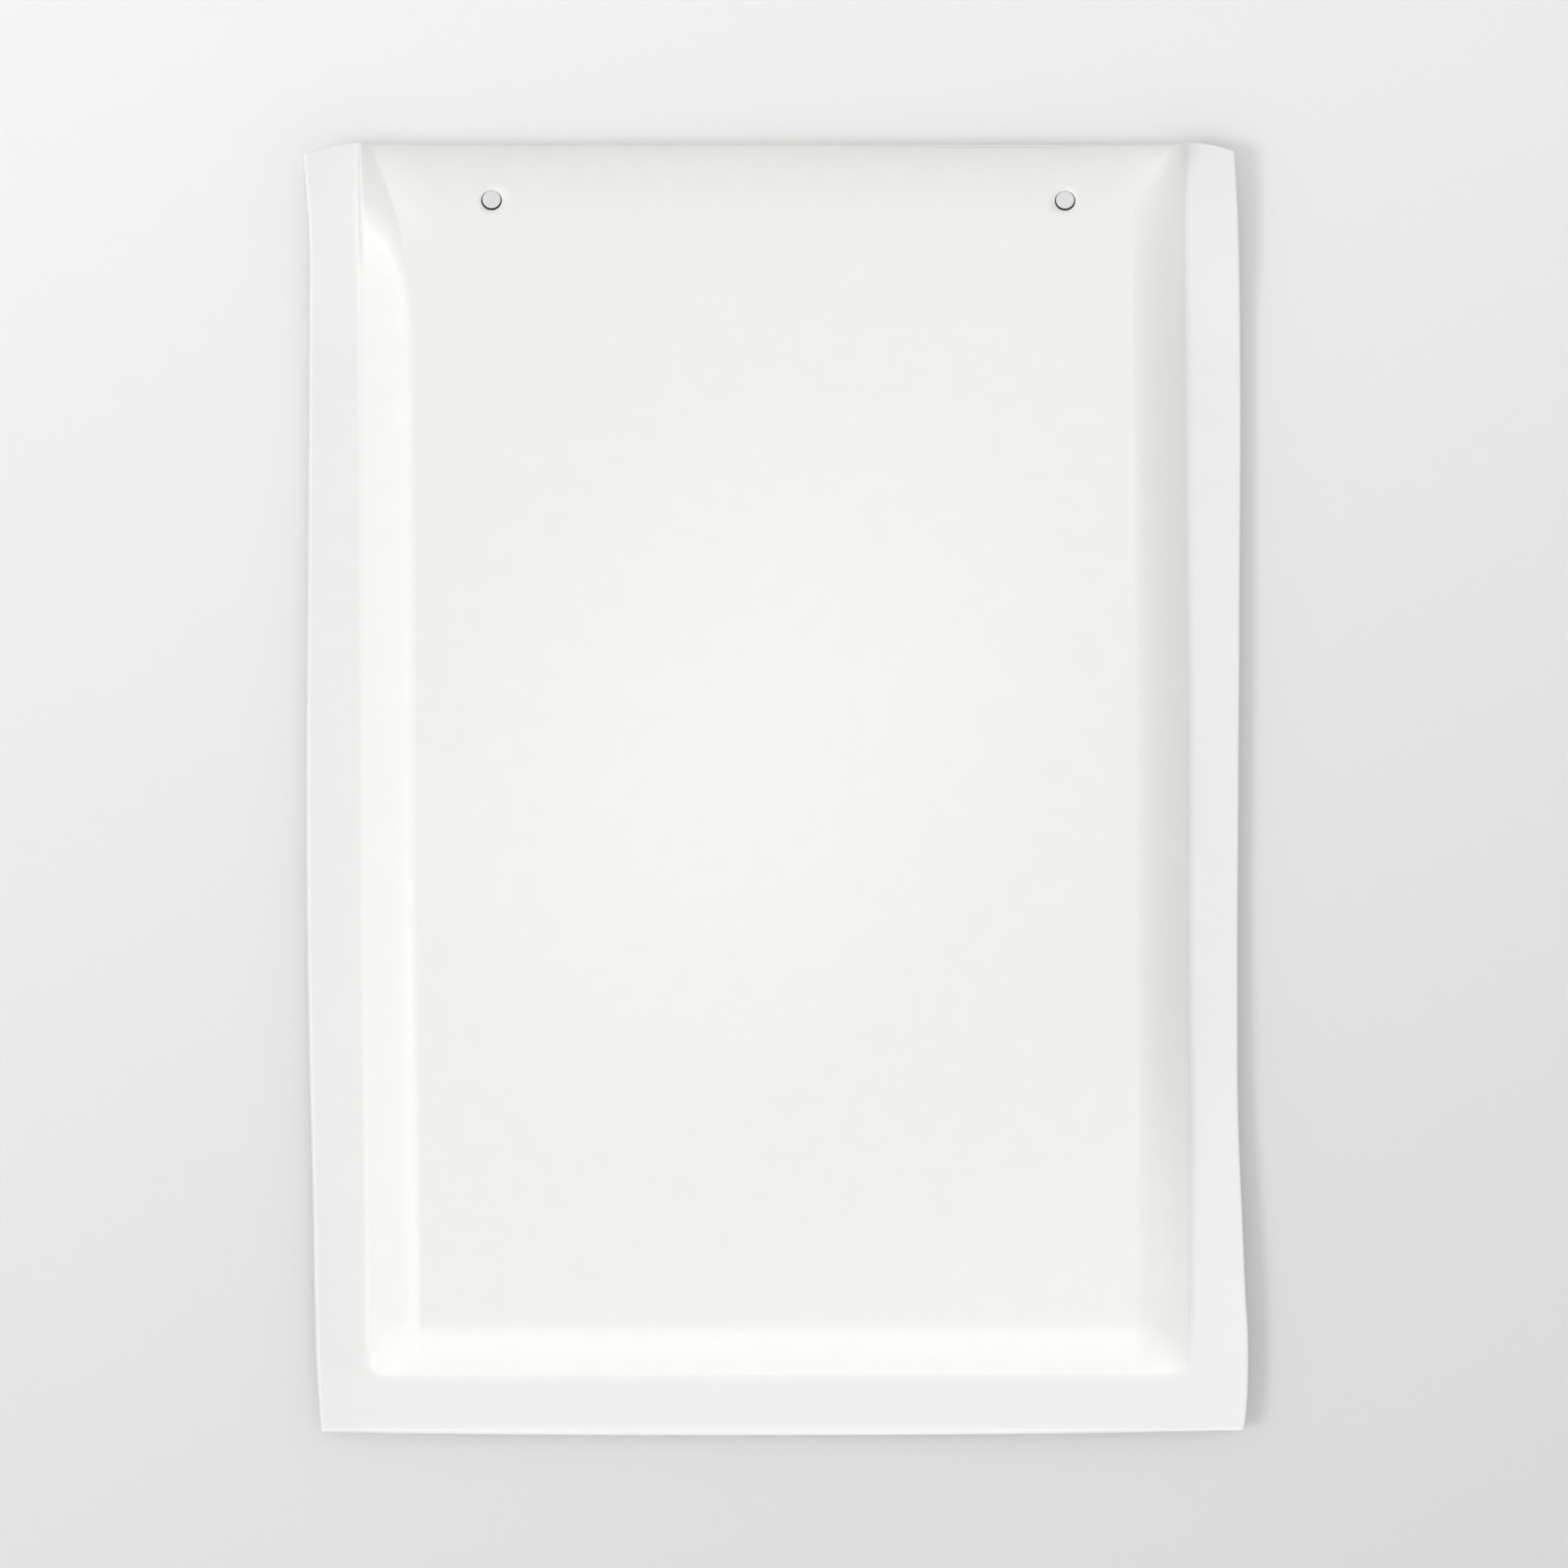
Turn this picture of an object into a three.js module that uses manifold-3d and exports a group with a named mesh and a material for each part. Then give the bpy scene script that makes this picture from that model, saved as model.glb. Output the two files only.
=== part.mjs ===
// Padded bubble mailer, folded shut and lying on its back with the address face up.
// Millimetres, +Z up, +X to the right and +Y towards the folded top edge.
// The origin is on the ground under the middle of the envelope.
import * as THREE from "three";
import { mergeVertices } from "three/addons/utils/BufferGeometryUtils.js";
import Module from "manifold-3d";

const wasm = await Module();
wasm.setup();

// Envelope in plan
const ENVELOPE_WIDTH = 200;
const ENVELOPE_HEIGHT = 275;
const SIDE_FLANGE = 12;
const BOTTOM_FLANGE = 12.2;
const FLANGE_PEAK = 0.4; // how far the flange stands above the fold beside the seam
const FLANGE_DROOP = 2.2; // how far its top edge falls from there to the outer corner

// Sheets and films, in thickness
const PAPER = 0.2;
const BACKING_FILM = 0.12;
const FORMED_FILM = 0.15;
const SEAL_FILM = 0.15;
const ADHESIVE = 0.1;
const RELEASE_PAPER = 0.1;
const LAYER_GAP = 0.1; // clearance between sheets that lie on each other

// Pillow: what the padding and the pocket make of the two panels
const POCKET_GAP = 4.8;
const SLOPE_WIDTH = 11.5; // from a seam to the flat of the pillow
const ROLL_DEPTH = 19.5; // from the top fold to the flat of the pillow

// Bubble film
const BUBBLE_HEIGHT = 3;
const BUBBLE_PITCH = 12.6;
const BUBBLE_SHOULDER = 1.5; // how far a cell's side leans in from its rim to its crown
const LOWEST_BUBBLE = 0.6; // flatter cells than this are crushed flat beside the seams
const CELL_MARGIN = 0.8; // plain film left round the field of cells
const LINER_CLEARANCE = 0.3; // from a liner's edge to the paper beside it
const LINER_SETBACK = 2.8; // from the back panel's mouth edge down to the liners
const LINER_CORNER_EASE = 1.3; // how much rounder a liner's corners are than the pillow's
const FACET_REACH = 0.6; // a cell's crown allows for the paper's height this far round it

// Heat seals
const SEAL_WIDTH = 8;
const SEAL_ROOT = 0.15; // how far a seal reaches into the pillow before its films part
const SEAL_BUTT_GAP = 0.3;
const SEAL_TIP_CLEARANCE = 0.3; // from the tips of the parted films to the paper over them

// Mouth, flap and its closure
const MOUTH_DROP = 5.7; // from the top fold down to the back panel's edge
const FLAP_LENGTH = 50;
const FLAP_SIDE_GAP = 1.5; // from a side seam to the flap's edge
const FLAP_TAPER = 3; // how much narrower the flap is at each side of its free end
const FLAP_CORNER = 9;
const FLAP_END_GAP = 1.5; // from the flap's free end to the step in the back panel
const FOLD_CLEARANCE = 0.1; // from the fold to the flap's turning axis
const STEP_LENGTH = 6;
const STRIP_EDGE = 7; // from the flap's free end to the adhesive
const ADHESIVE_WIDTH = 12;
const ADHESIVE_LENGTH = 150;
const RELEASE_OVERHANG = 1; // how far the release strip covers past the adhesive's long sides
const RELEASE_TAB = 5; // and past its ends, to give a finger hold

// Holes punched in the front sheet alone, with the film of the liner behind them
const HOLE_DIAMETER = 4.8;
const HOLE_DROP = 12; // from the top fold to the holes' centres
const HOLE_SPACING = 122;

// How far each edge wanders out of true, as [share of the edge's length, millimetres outwards]
const LEFT_EDGE = [
  [0, -3.4],
  [0.04, -2.3],
  [0.23, -0.9],
  [0.45, 0],
  [0.75, -0.3],
  [0.92, -0.5],
  [1, 0.7],
];
const RIGHT_EDGE = [
  [0, -0.3],
  [0.05, 0.8],
  [0.23, -1.2],
  [0.36, -1.4],
  [0.74, -0.7],
  [0.87, -0.7],
  [1, -1.9],
];
const BOTTOM_EDGE = [
  [0, -0.3],
  [0.4, 0.4],
  [0.65, 0.3],
  [1, -0.6],
];

// Facets
const SLOPE_STEPS = 5;
const FLAT_COLUMNS = 4;
const FLAT_ROWS = 8;
const STEP_ROWS = 3;
const CORNER_STEPS = 5;
const HOLE_SIDES = 20;

// Levels, measured from the middle of the flanges
const FLANGE_INNER = SEAL_FILM / 2 + LAYER_GAP;
const FLANGE_OUTER = FLANGE_INNER + PAPER;
const FILM_BASE = POCKET_GAP / 2;
const WEB_BASE = FILM_BASE + BACKING_FILM + LAYER_GAP;
const WEB_TOP = WEB_BASE + FORMED_FILM;
const PILLOW_INNER = WEB_TOP + BUBBLE_HEIGHT + LAYER_GAP;
const PILLOW_RISE = PILLOW_INNER - FLANGE_INNER;

// Heights above the ground
const SEAM_LEVEL = PILLOW_INNER + PAPER;
const ADHESIVE_LEVEL = PAPER + LAYER_GAP;
const RELEASE_LEVEL = ADHESIVE_LEVEL + ADHESIVE + LAYER_GAP;
const FLAP_STACK = RELEASE_LEVEL + RELEASE_PAPER + LAYER_GAP;
const CREASE_LEVEL = SEAM_LEVEL + FLANGE_INNER - LAYER_GAP;

// Places in plan
const FOLD_Y = ENVELOPE_HEIGHT / 2;
const SEAM_X = ENVELOPE_WIDTH / 2 - SIDE_FLANGE;
const SEAM_Y = BOTTOM_FLANGE - ENVELOPE_HEIGHT / 2;
const MOUTH_Y = FOLD_Y - MOUTH_DROP;
const ROLL_Y = FOLD_Y - ROLL_DEPTH;
const FLAP_END_Y = FOLD_Y - FLAP_LENGTH;
const STEP_Y = FLAP_END_Y - FLAP_END_GAP;

const lerp = THREE.MathUtils.lerp;

// Where a place lies in a table of [place, value] pairs in rising order of place: the pair
// before it, and its share of the way to the next pair.
function findPlace(table, place) {
  const before = table.filter((pair) => pair[0] < place).length - 1;
  const i = THREE.MathUtils.clamp(before, 0, table.length - 2);
  return [i, THREE.MathUtils.inverseLerp(table[i][0], table[i + 1][0], place)];
}

// Read the straight lines through a table's pairs, level beyond both ends.
function readTable(table, place) {
  const [i, share] = findPlace(table, place);
  return lerp(table[i][1], table[i + 1][1], THREE.MathUtils.clamp(share, 0, 1));
}

// Read the smooth curve through an edge's points at a share of the edge's length.
function readEdge(points, place) {
  const [i, share] = findPlace(points, place);
  const curve = new THREE.SplineCurve(points.map(([along, out]) => new THREE.Vector2(along, out)));
  return curve.getPoint((i + share) / (points.length - 1)).y;
}

function sideEdge(side, y) {
  const share = THREE.MathUtils.clamp((y + ENVELOPE_HEIGHT / 2) / ENVELOPE_HEIGHT, 0, 1);
  return ENVELOPE_WIDTH / 2 + readEdge(side < 0 ? LEFT_EDGE : RIGHT_EDGE, share);
}

function bottomEdge(x) {
  const share = THREE.MathUtils.clamp((x + ENVELOPE_WIDTH / 2) / ENVELOPE_WIDTH, 0, 1);
  return -ENVELOPE_HEIGHT / 2 - readEdge(BOTTOM_EDGE, share);
}

// The pillow rises from a seam as a quarter of an ellipse. Each step has its distance from the
// seam on the outer face, how far the inner face lies behind it, and its share of the full rise.
function slopeSteps(width) {
  return Array.from({ length: SLOPE_STEPS + 1 }, (_, step) => {
    const angle = ((step / SLOPE_STEPS) * Math.PI) / 2;
    return {
      run: width * (1 - Math.cos(angle)),
      inset: step ? PAPER * Math.cos(angle) : 0,
      rise: Math.sin(angle),
    };
  });
}

// Columns of a panel's grid, from its left edge to its right edge.
function panelColumns() {
  const slope = slopeSteps(SLOPE_WIDTH);
  const halfFlat = SEAM_X - SLOPE_WIDTH;
  const side = (sign) => [
    { sign, reach: 1, rise: 0 },
    { sign, reach: 0.5, rise: 0 },
    ...slope.map(({ run, inset, rise }) => ({
      x: sign * (SEAM_X - run),
      innerX: sign * (SEAM_X - run - inset),
      rise,
      atSeam: run === 0,
    })),
  ];
  const flat = Array.from({ length: FLAT_COLUMNS - 1 }, (_, i) => {
    const x = lerp(-halfFlat, halfFlat, (i + 1) / FLAT_COLUMNS);
    return { x, innerX: x, rise: 1 };
  });
  return [...side(-1), ...flat, ...side(1).reverse()];
}

// Rows that both panels share: the bottom flange and the bottom slope.
function bottomRows() {
  return [
    { reach: 1, bottom: 0, top: 1 },
    { reach: 0.5, bottom: 0, top: 1 },
    ...slopeSteps(SLOPE_WIDTH).map(({ run, inset, rise }) => ({
      y: SEAM_Y + run,
      innerY: SEAM_Y + run + inset,
      bottom: rise,
      top: 1,
    })),
  ];
}

// Level rows from just after one place up to another, where the last one lies.
function levelRows(from, to, count, top) {
  return Array.from({ length: count }, (_, i) => {
    const y = lerp(from, to, (i + 1) / count);
    return { y, innerY: y, bottom: 1, top };
  });
}

// The front panel goes on level to the roll, and rolls down to the fold.
function frontRows() {
  const roll = slopeSteps(ROLL_DEPTH).reverse().slice(1);
  return [
    ...bottomRows(),
    ...levelRows(SEAM_Y + SLOPE_WIDTH, ROLL_Y, FLAT_ROWS, 1),
    ...roll.map(({ run, inset, rise }) => ({
      y: FOLD_Y - run,
      innerY: FOLD_Y - run - inset,
      bottom: 1,
      top: rise,
    })),
  ];
}

// The back panel steps up over the folded flap, and rolls up inside it as far as the mouth.
function backRows() {
  const steppedShare = 1 - FLAP_STACK / PILLOW_RISE;
  const step = Array.from({ length: STEP_ROWS }, (_, i) => {
    const share = (i + 1) / STEP_ROWS;
    const y = STEP_Y - STEP_LENGTH * (1 - share);
    return { y, innerY: y, bottom: 1, top: lerp(1, steppedShare, THREE.MathUtils.smoothstep(share, 0, 1)) };
  });
  const rollRadius = ROLL_DEPTH - FLAP_STACK;
  const mouthAngle = Math.acos((MOUTH_Y - ROLL_Y) / rollRadius);
  const roll = Array.from({ length: SLOPE_STEPS - 1 }, (_, i) => {
    const angle = lerp(Math.PI / 2, mouthAngle, (i + 1) / (SLOPE_STEPS - 1));
    const y = ROLL_Y + rollRadius * Math.cos(angle);
    return { y, innerY: y - PAPER * Math.cos(angle), bottom: 1, top: steppedShare * Math.sin(angle) };
  });
  return [
    ...bottomRows(),
    ...levelRows(SEAM_Y + SLOPE_WIDTH, STEP_Y - STEP_LENGTH, FLAT_ROWS - 2, 1),
    ...step,
    ...levelRows(STEP_Y, ROLL_Y, 2, steppedShare),
    ...roll,
  ];
}

// A closed solid from positions and triangles, turned so that its faces point out.
function closedGeometry(positions, triangles) {
  const [a, b, c] = [new THREE.Vector3(), new THREE.Vector3(), new THREE.Vector3()];
  const volume = triangles.reduce((sum, [i, j, k]) => {
    a.fromArray(positions[i]);
    b.fromArray(positions[j]);
    c.fromArray(positions[k]);
    return sum + a.dot(b.cross(c));
  }, 0);
  const facing = volume < 0 ? triangles.map(([i, j, k]) => [i, k, j]) : triangles;
  const geometry = new THREE.BufferGeometry();
  geometry.setAttribute("position", new THREE.Float32BufferAttribute(positions.flat(), 3));
  geometry.setIndex(facing.flat());
  return geometry;
}

// A sheet between two grids of points with as many rows and columns: its outer and inner faces.
// Each cell is split along its higher diagonal, so that ridges run where two slopes meet.
function sheetGeometry(outer, inner, height) {
  const columns = outer[0].length;
  const count = outer.length * columns;
  const at = (row, column) => row * columns + column;
  const corners = outer.flat();
  const triangles = [];
  for (let row = 0; row + 1 < outer.length; row++) {
    for (let column = 0; column + 1 < columns; column++) {
      const [a, b] = [at(row, column), at(row, column + 1)];
      const [d, c] = [at(row + 1, column), at(row + 1, column + 1)];
      const ridge = height(corners[a]) + height(corners[c]) >= height(corners[b]) + height(corners[d]);
      const halves = ridge ? [[a, b, c], [a, c, d]] : [[a, b, d], [b, c, d]];
      for (const [i, j, k] of halves) triangles.push([i, j, k], [i + count, k + count, j + count]);
    }
  }
  const rim = [
    ...outer[0].map((_, column) => at(0, column)),
    ...outer.slice(1).map((_, row) => at(row + 1, columns - 1)),
    ...outer[0].slice(1).map((_, column) => at(outer.length - 1, columns - 2 - column)),
    ...outer.slice(2).map((_, row) => at(outer.length - 2 - row, 0)),
  ];
  rim.forEach((from, i) => {
    const to = rim[(i + 1) % rim.length];
    triangles.push([from, from + count, to + count], [from, to + count, to]);
  });
  return closedGeometry([...outer.flat(), ...inner.flat()], triangles);
}

// One paper panel. facing is 1 for the front and -1 for the back.
function panelGeometry(rows, facing, foldedTop) {
  const columns = panelColumns();
  const faces = ["outer", "inner"].map((face) =>
    rows.map((row) =>
      columns.map((column) => {
        const inner = face === "inner";
        const inFlange = column.reach !== undefined;
        const reach = column.reach ?? 0;
        const nominalX = inFlange ? column.sign * (SEAM_X + reach * SIDE_FLANGE) : column.x;
        let y = inner ? row.innerY : row.y;
        if (row.reach !== undefined) y = lerp(SEAM_Y, bottomEdge(nominalX), row.reach);
        if (foldedTop && (inFlange || column.atSeam) && row.y > ROLL_Y) {
          const top = FOLD_Y + FLANGE_PEAK - FLANGE_DROOP * reach * reach;
          y = ROLL_Y + (row.y - ROLL_Y) * ((top - ROLL_Y) / ROLL_DEPTH);
        }
        let x = inner ? column.innerX : column.x;
        if (inFlange) x = column.sign * lerp(SEAM_X, sideEdge(column.sign, y), reach);
        const level = inner ? FLANGE_INNER : FLANGE_OUTER;
        const share = Math.min(column.rise * row.bottom, row.top);
        return [x, y, SEAM_LEVEL + facing * (level + PILLOW_RISE * share)];
      }),
    ),
  );
  return sheetGeometry(faces[0], faces[1], ([, , z]) => facing * z);
}

// Solid arithmetic on geometries.
function toSolid(geometry) {
  const plain = geometry.clone();
  plain.deleteAttribute("normal");
  plain.deleteAttribute("uv");
  const merged = mergeVertices(plain, 1e-4);
  return new wasm.Manifold(
    new wasm.Mesh({
      numProp: 3,
      vertProperties: merged.attributes.position.array,
      triVerts: new Uint32Array(merged.index.array),
    }),
  );
}

function toGeometry(solid) {
  const mesh = solid.getMesh();
  const geometry = new THREE.BufferGeometry();
  geometry.setAttribute("position", new THREE.Float32BufferAttribute(mesh.vertProperties, 3));
  geometry.setIndex([...mesh.triVerts]);
  return geometry;
}

function join(...geometries) {
  return toGeometry(geometries.map(toSolid).reduce((all, next) => all.add(next)));
}

// Cut both holes through a sheet.
function punch(geometry) {
  const depth = 4 * SEAM_LEVEL;
  const cut = [-1, 1].reduce((solid, side) => {
    const hole = new THREE.CylinderGeometry(HOLE_DIAMETER / 2, HOLE_DIAMETER / 2, depth, HOLE_SIDES);
    hole.rotateX(Math.PI / 2);
    hole.translate((side * HOLE_SPACING) / 2, FOLD_Y - HOLE_DROP, SEAM_LEVEL);
    return solid.subtract(toSolid(hole));
  }, toSolid(geometry));
  return toGeometry(cut);
}

// How much room the paper's inner face leaves over the middle of the flanges, at its lowest
// within a short reach, so that a facet's sag is allowed for.
function roomUnder(rows) {
  const rising = panelColumns().filter((column) => column.innerX !== undefined);
  const placed = rows.filter((row) => row.innerY !== undefined);
  const across = rising.map((column) => [column.innerX, column.rise]);
  const bottom = placed.map((row) => [row.innerY, row.bottom]);
  const top = placed.map((row) => [row.innerY, row.top]);
  const shareAt = (x, y) => Math.min(readTable(across, x) * readTable(bottom, y), readTable(top, y));
  return (x, y) => {
    const around = [-FACET_REACH, FACET_REACH];
    const shares = around.flatMap((dx) => around.map((dy) => shareAt(x + dx, y + dy)));
    return FLANGE_INNER + PILLOW_RISE * Math.min(...shares);
  };
}

// Distance in from a seam at which the paper's inner face has reached a share of its rise.
function depthAtShare(share) {
  return readTable(slopeSteps(SLOPE_WIDTH).map(({ run, inset, rise }) => [rise, run + inset]), share);
}

// A liner's outline: its edges stay where the paper leaves room for the flat film. In a bottom
// corner both slopes take room away, so it's rounded off there.
const LINER_SHARE = (WEB_TOP + LAYER_GAP - FLANGE_INNER) / PILLOW_RISE;
const LINER_INSET = depthAtShare(LINER_SHARE) + LINER_CLEARANCE;
const LINER_TOP = MOUTH_Y - LINER_SETBACK;
const LINER_CORNER_CUT = depthAtShare(Math.sqrt(LINER_SHARE)) - depthAtShare(LINER_SHARE);
const LINER_CORNER = (LINER_CORNER_EASE * LINER_CORNER_CUT) / (1 - Math.SQRT1_2);

// Outline of a liner film: square at the mouth and rounded in the bottom corners.
function linerShape() {
  const [halfWidth, bottom] = [SEAM_X - LINER_INSET, SEAM_Y + LINER_INSET];
  const shape = new THREE.Shape();
  shape.moveTo(halfWidth, LINER_TOP);
  shape.lineTo(-halfWidth, LINER_TOP);
  shape.lineTo(-halfWidth, bottom + LINER_CORNER);
  shape.absarc(LINER_CORNER - halfWidth, bottom + LINER_CORNER, LINER_CORNER, Math.PI, 1.5 * Math.PI);
  shape.absarc(halfWidth - LINER_CORNER, bottom + LINER_CORNER, LINER_CORNER, 1.5 * Math.PI, 2 * Math.PI);
  shape.closePath();
  return shape;
}

// Smooth inner web of a liner, facing the contents.
function backingFilmGeometry(facing) {
  const film = new THREE.ExtrudeGeometry(linerShape(), {
    depth: BACKING_FILM,
    bevelEnabled: false,
    curveSegments: CORNER_STEPS,
  });
  film.translate(0, 0, facing > 0 ? SEAM_LEVEL + FILM_BASE : SEAM_LEVEL - FILM_BASE - BACKING_FILM);
  return film;
}

// Is the point inside the liner's outline by at least the margin left round the cells?
function insideCellField([x, y]) {
  const [halfWidth, bottom] = [SEAM_X - LINER_INSET, SEAM_Y + LINER_INSET];
  const [sideRoom, bottomRoom] = [halfWidth - Math.abs(x), y - bottom];
  const inCorner = sideRoom < LINER_CORNER && bottomRoom < LINER_CORNER;
  const cornerRoom = LINER_CORNER - Math.hypot(LINER_CORNER - sideRoom, LINER_CORNER - bottomRoom);
  const room = inCorner ? cornerRoom : Math.min(sideRoom, bottomRoom, LINER_TOP - y);
  return room >= CELL_MARGIN;
}

// The air cells' places: whole hexagons in staggered rows, rims touching, inside the outline.
function cellField() {
  const rowPitch = (BUBBLE_PITCH * Math.sqrt(3)) / 2;
  const rimRadius = BUBBLE_PITCH / Math.sqrt(3);
  const rowCount = Math.ceil((LINER_TOP - SEAM_Y) / rowPitch);
  const columnCount = Math.ceil((2 * SEAM_X) / BUBBLE_PITCH);
  const middle = (SEAM_Y + LINER_TOP) / 2;
  const cells = [];
  for (let row = 0; row < rowCount; row++) {
    const y = middle + (row - (rowCount - 1) / 2) * rowPitch;
    const shift = row % 2 ? 0.5 : 0;
    for (let column = -columnCount; column <= columnCount; column++) {
      const x = (column + shift) * BUBBLE_PITCH;
      const ring = (radius) =>
        Array.from({ length: 6 }, (_, corner) => {
          const angle = Math.PI / 6 + (corner * Math.PI) / 3;
          return [x + radius * Math.cos(angle), y + radius * Math.sin(angle)];
        });
      cells.push({ rim: ring(rimRadius), crown: ring(rimRadius - BUBBLE_SHOULDER) });
    }
  }
  return cells.filter((cell) => cell.rim.every(insideCellField));
}

// The edge of the field of cells: the rim edges that belong to one cell only, as one loop.
function fieldLoop(cells, idOf) {
  const next = new Map();
  for (const { rim } of cells) {
    rim.forEach((corner, i) => {
      const [from, to] = [idOf(corner), idOf(rim[(i + 1) % rim.length])];
      next.set(`${from} ${to}`, [from, to]);
    });
  }
  const open = [...next.values()].filter(([from, to]) => !next.has(`${to} ${from}`));
  const after = new Map(open);
  const loop = [open[0][0]];
  while (after.get(loop.at(-1)) !== loop[0]) loop.push(after.get(loop.at(-1)));
  return loop;
}

// Formed web of a liner: a flat film with a field of air cells that stand up against the paper.
// A cell is as tall as the room there, so the cells sink towards the seams and over the flap.
function formedWebGeometry(rows, facing) {
  const room = roomUnder(rows);
  const crownLevel = ([x, y]) => Math.min(WEB_TOP + BUBBLE_HEIGHT, room(x, y) - LAYER_GAP);
  const tallEnough = (corner) => crownLevel(corner) - WEB_TOP >= LOWEST_BUBBLE;
  const cells = cellField().filter((cell) => cell.crown.every(tallEnough));
  const positions = [];
  const ids = new Map();
  const add = ([x, y], level) => positions.push([x, y, SEAM_LEVEL + facing * level]) - 1;
  const rimId = (corner) => {
    const key = corner.map((value) => value.toFixed(3)).join(" ").replaceAll("-0.000", "0.000");
    if (!ids.has(key)) ids.set(key, add(corner, WEB_TOP));
    return ids.get(key);
  };
  const triangles = [];
  for (const { rim, crown } of cells) {
    const low = rim.map(rimId);
    const high = crown.map((corner) => add(corner, crownLevel(corner)));
    low.forEach((corner, i) => {
      const j = (i + 1) % low.length;
      triangles.push([corner, low[j], high[j]], [corner, high[j], high[i]]);
    });
    for (let i = 1; i + 1 < high.length; i++) triangles.push([high[0], high[i], high[i + 1]]);
  }
  const loop = fieldLoop(cells, rimId);
  const outline = linerShape().getPoints(CORNER_STEPS).filter((p, i, all) => !i || !p.equals(all[0]));
  const topRing = outline.map(({ x, y }) => add([x, y], WEB_TOP));
  const baseRing = outline.map(({ x, y }) => add([x, y], WEB_BASE));
  const hole = loop.map((id) => new THREE.Vector2(positions[id][0], positions[id][1]));
  const border = [...topRing, ...loop];
  for (const [i, j, k] of THREE.ShapeUtils.triangulateShape(outline, [hole])) {
    triangles.push([border[i], border[j], border[k]]);
  }
  for (const [i, j, k] of THREE.ShapeUtils.triangulateShape(outline, [])) {
    triangles.push([baseRing[i], baseRing[k], baseRing[j]]);
  }
  topRing.forEach((corner, i) => {
    const j = (i + 1) % topRing.length;
    triangles.push([corner, baseRing[i], baseRing[j]], [corner, baseRing[j], topRing[j]]);
  });
  return closedGeometry(positions, triangles);
}

// Section of a heat seal, across its seam: a band of crushed film between the flanges, whose
// two films part inside the pillow and rise towards the liners' edges. x runs in from the seam.
function sealRootShape() {
  const tipDepth = LINER_INSET - SEAL_BUTT_GAP;
  const innerSlope = slopeSteps(SLOPE_WIDTH).map(({ run, inset, rise }) => [run + inset, rise]);
  const tipShare = readTable(innerSlope, tipDepth);
  const tipLevel = Math.min(FILM_BASE, FLANGE_INNER + PILLOW_RISE * tipShare - SEAL_TIP_CLEARANCE);
  const half = SEAL_FILM / 2;
  const upper = [
    [SEAL_ROOT, half],
    [tipDepth - SEAL_FILM, tipLevel],
    [tipDepth, tipLevel - SEAL_FILM],
  ];
  const fork = [SEAL_ROOT + 2 * SEAL_FILM, 0];
  const lower = upper.map(([x, z]) => [x, -z]).reverse();
  const points = [...upper, fork, ...lower, [-half, -half], [-half, half]];
  return new THREE.Shape(points.map(([x, z]) => new THREE.Vector2(x, z)));
}

// A seal along a straight seam. The seam runs along Y through 0, and the pillow is towards +X.
function sealGeometry(bandFrom, bandTo, rootFrom, rootTo) {
  const band = new THREE.BoxGeometry(SEAL_WIDTH + SEAL_ROOT, bandTo - bandFrom, SEAL_FILM);
  band.translate((SEAL_ROOT - SEAL_WIDTH) / 2, (bandFrom + bandTo) / 2, 0);
  const root = new THREE.ExtrudeGeometry(sealRootShape(), { depth: rootTo - rootFrom, bevelEnabled: false });
  root.rotateX(Math.PI / 2);
  root.translate(0, rootTo, 0);
  return join(band, root);
}

function sideSealGeometry(side) {
  const seal = sealGeometry(SEAM_Y - SEAL_WIDTH, MOUTH_Y - SEAL_BUTT_GAP, SEAM_Y + SLOPE_WIDTH, LINER_TOP);
  if (side > 0) seal.rotateY(Math.PI);
  return seal.translate(side * SEAM_X, 0, SEAM_LEVEL);
}

function bottomSealGeometry() {
  const halfBand = SEAM_X - SEAL_ROOT - SEAL_BUTT_GAP;
  const halfRoot = SEAM_X - SLOPE_WIDTH;
  const seal = sealGeometry(-halfBand, halfBand, -halfRoot, halfRoot);
  return seal.rotateZ(Math.PI / 2).translate(0, SEAM_Y, SEAM_LEVEL);
}

// Closing flap: rolls down from the fold as the lower half of the rounded top edge, and lies
// flat on the ground under the back panel. Its free end has rounded corners.
function flapGeometry() {
  const endRows = Array.from({ length: CORNER_STEPS + 1 }, (_, step) => {
    const angle = ((step / CORNER_STEPS) * Math.PI) / 2;
    const y = FLAP_END_Y + FLAP_CORNER * (1 - Math.cos(angle));
    return { y, innerY: y, z: 0, innerZ: PAPER, pulledIn: FLAP_CORNER * (1 - Math.sin(angle)) };
  });
  const rollRows = slopeSteps(ROLL_DEPTH).reverse().map(({ run, rise }) => ({
    y: FOLD_Y - run,
    innerY: FOLD_Y - run - PAPER * (1 - run / ROLL_DEPTH),
    z: CREASE_LEVEL * (1 - rise),
    innerZ: CREASE_LEVEL * (1 - rise) + PAPER * rise,
    pulledIn: 0,
  }));
  const rows = [...endRows, ...rollRows];
  const halfWidth = ({ y, pulledIn }) =>
    SEAM_X - FLAP_SIDE_GAP - (FLAP_TAPER * (FOLD_Y - y)) / FLAP_LENGTH - pulledIn;
  const outer = rows.map((row) => [-1, 1].map((side) => [side * halfWidth(row), row.y, row.z]));
  const inner = rows.map((row) => [-1, 1].map((side) => [side * halfWidth(row), row.innerY, row.innerZ]));
  return sheetGeometry(outer, inner, ([, , z]) => -z);
}

// A flat strip on the flap's inner face, centred between the sides.
function stripGeometry(length, from, to, level, thickness) {
  const strip = new THREE.BoxGeometry(length, to - from, thickness);
  return strip.translate(0, (from + to) / 2, level + thickness / 2);
}

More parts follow.
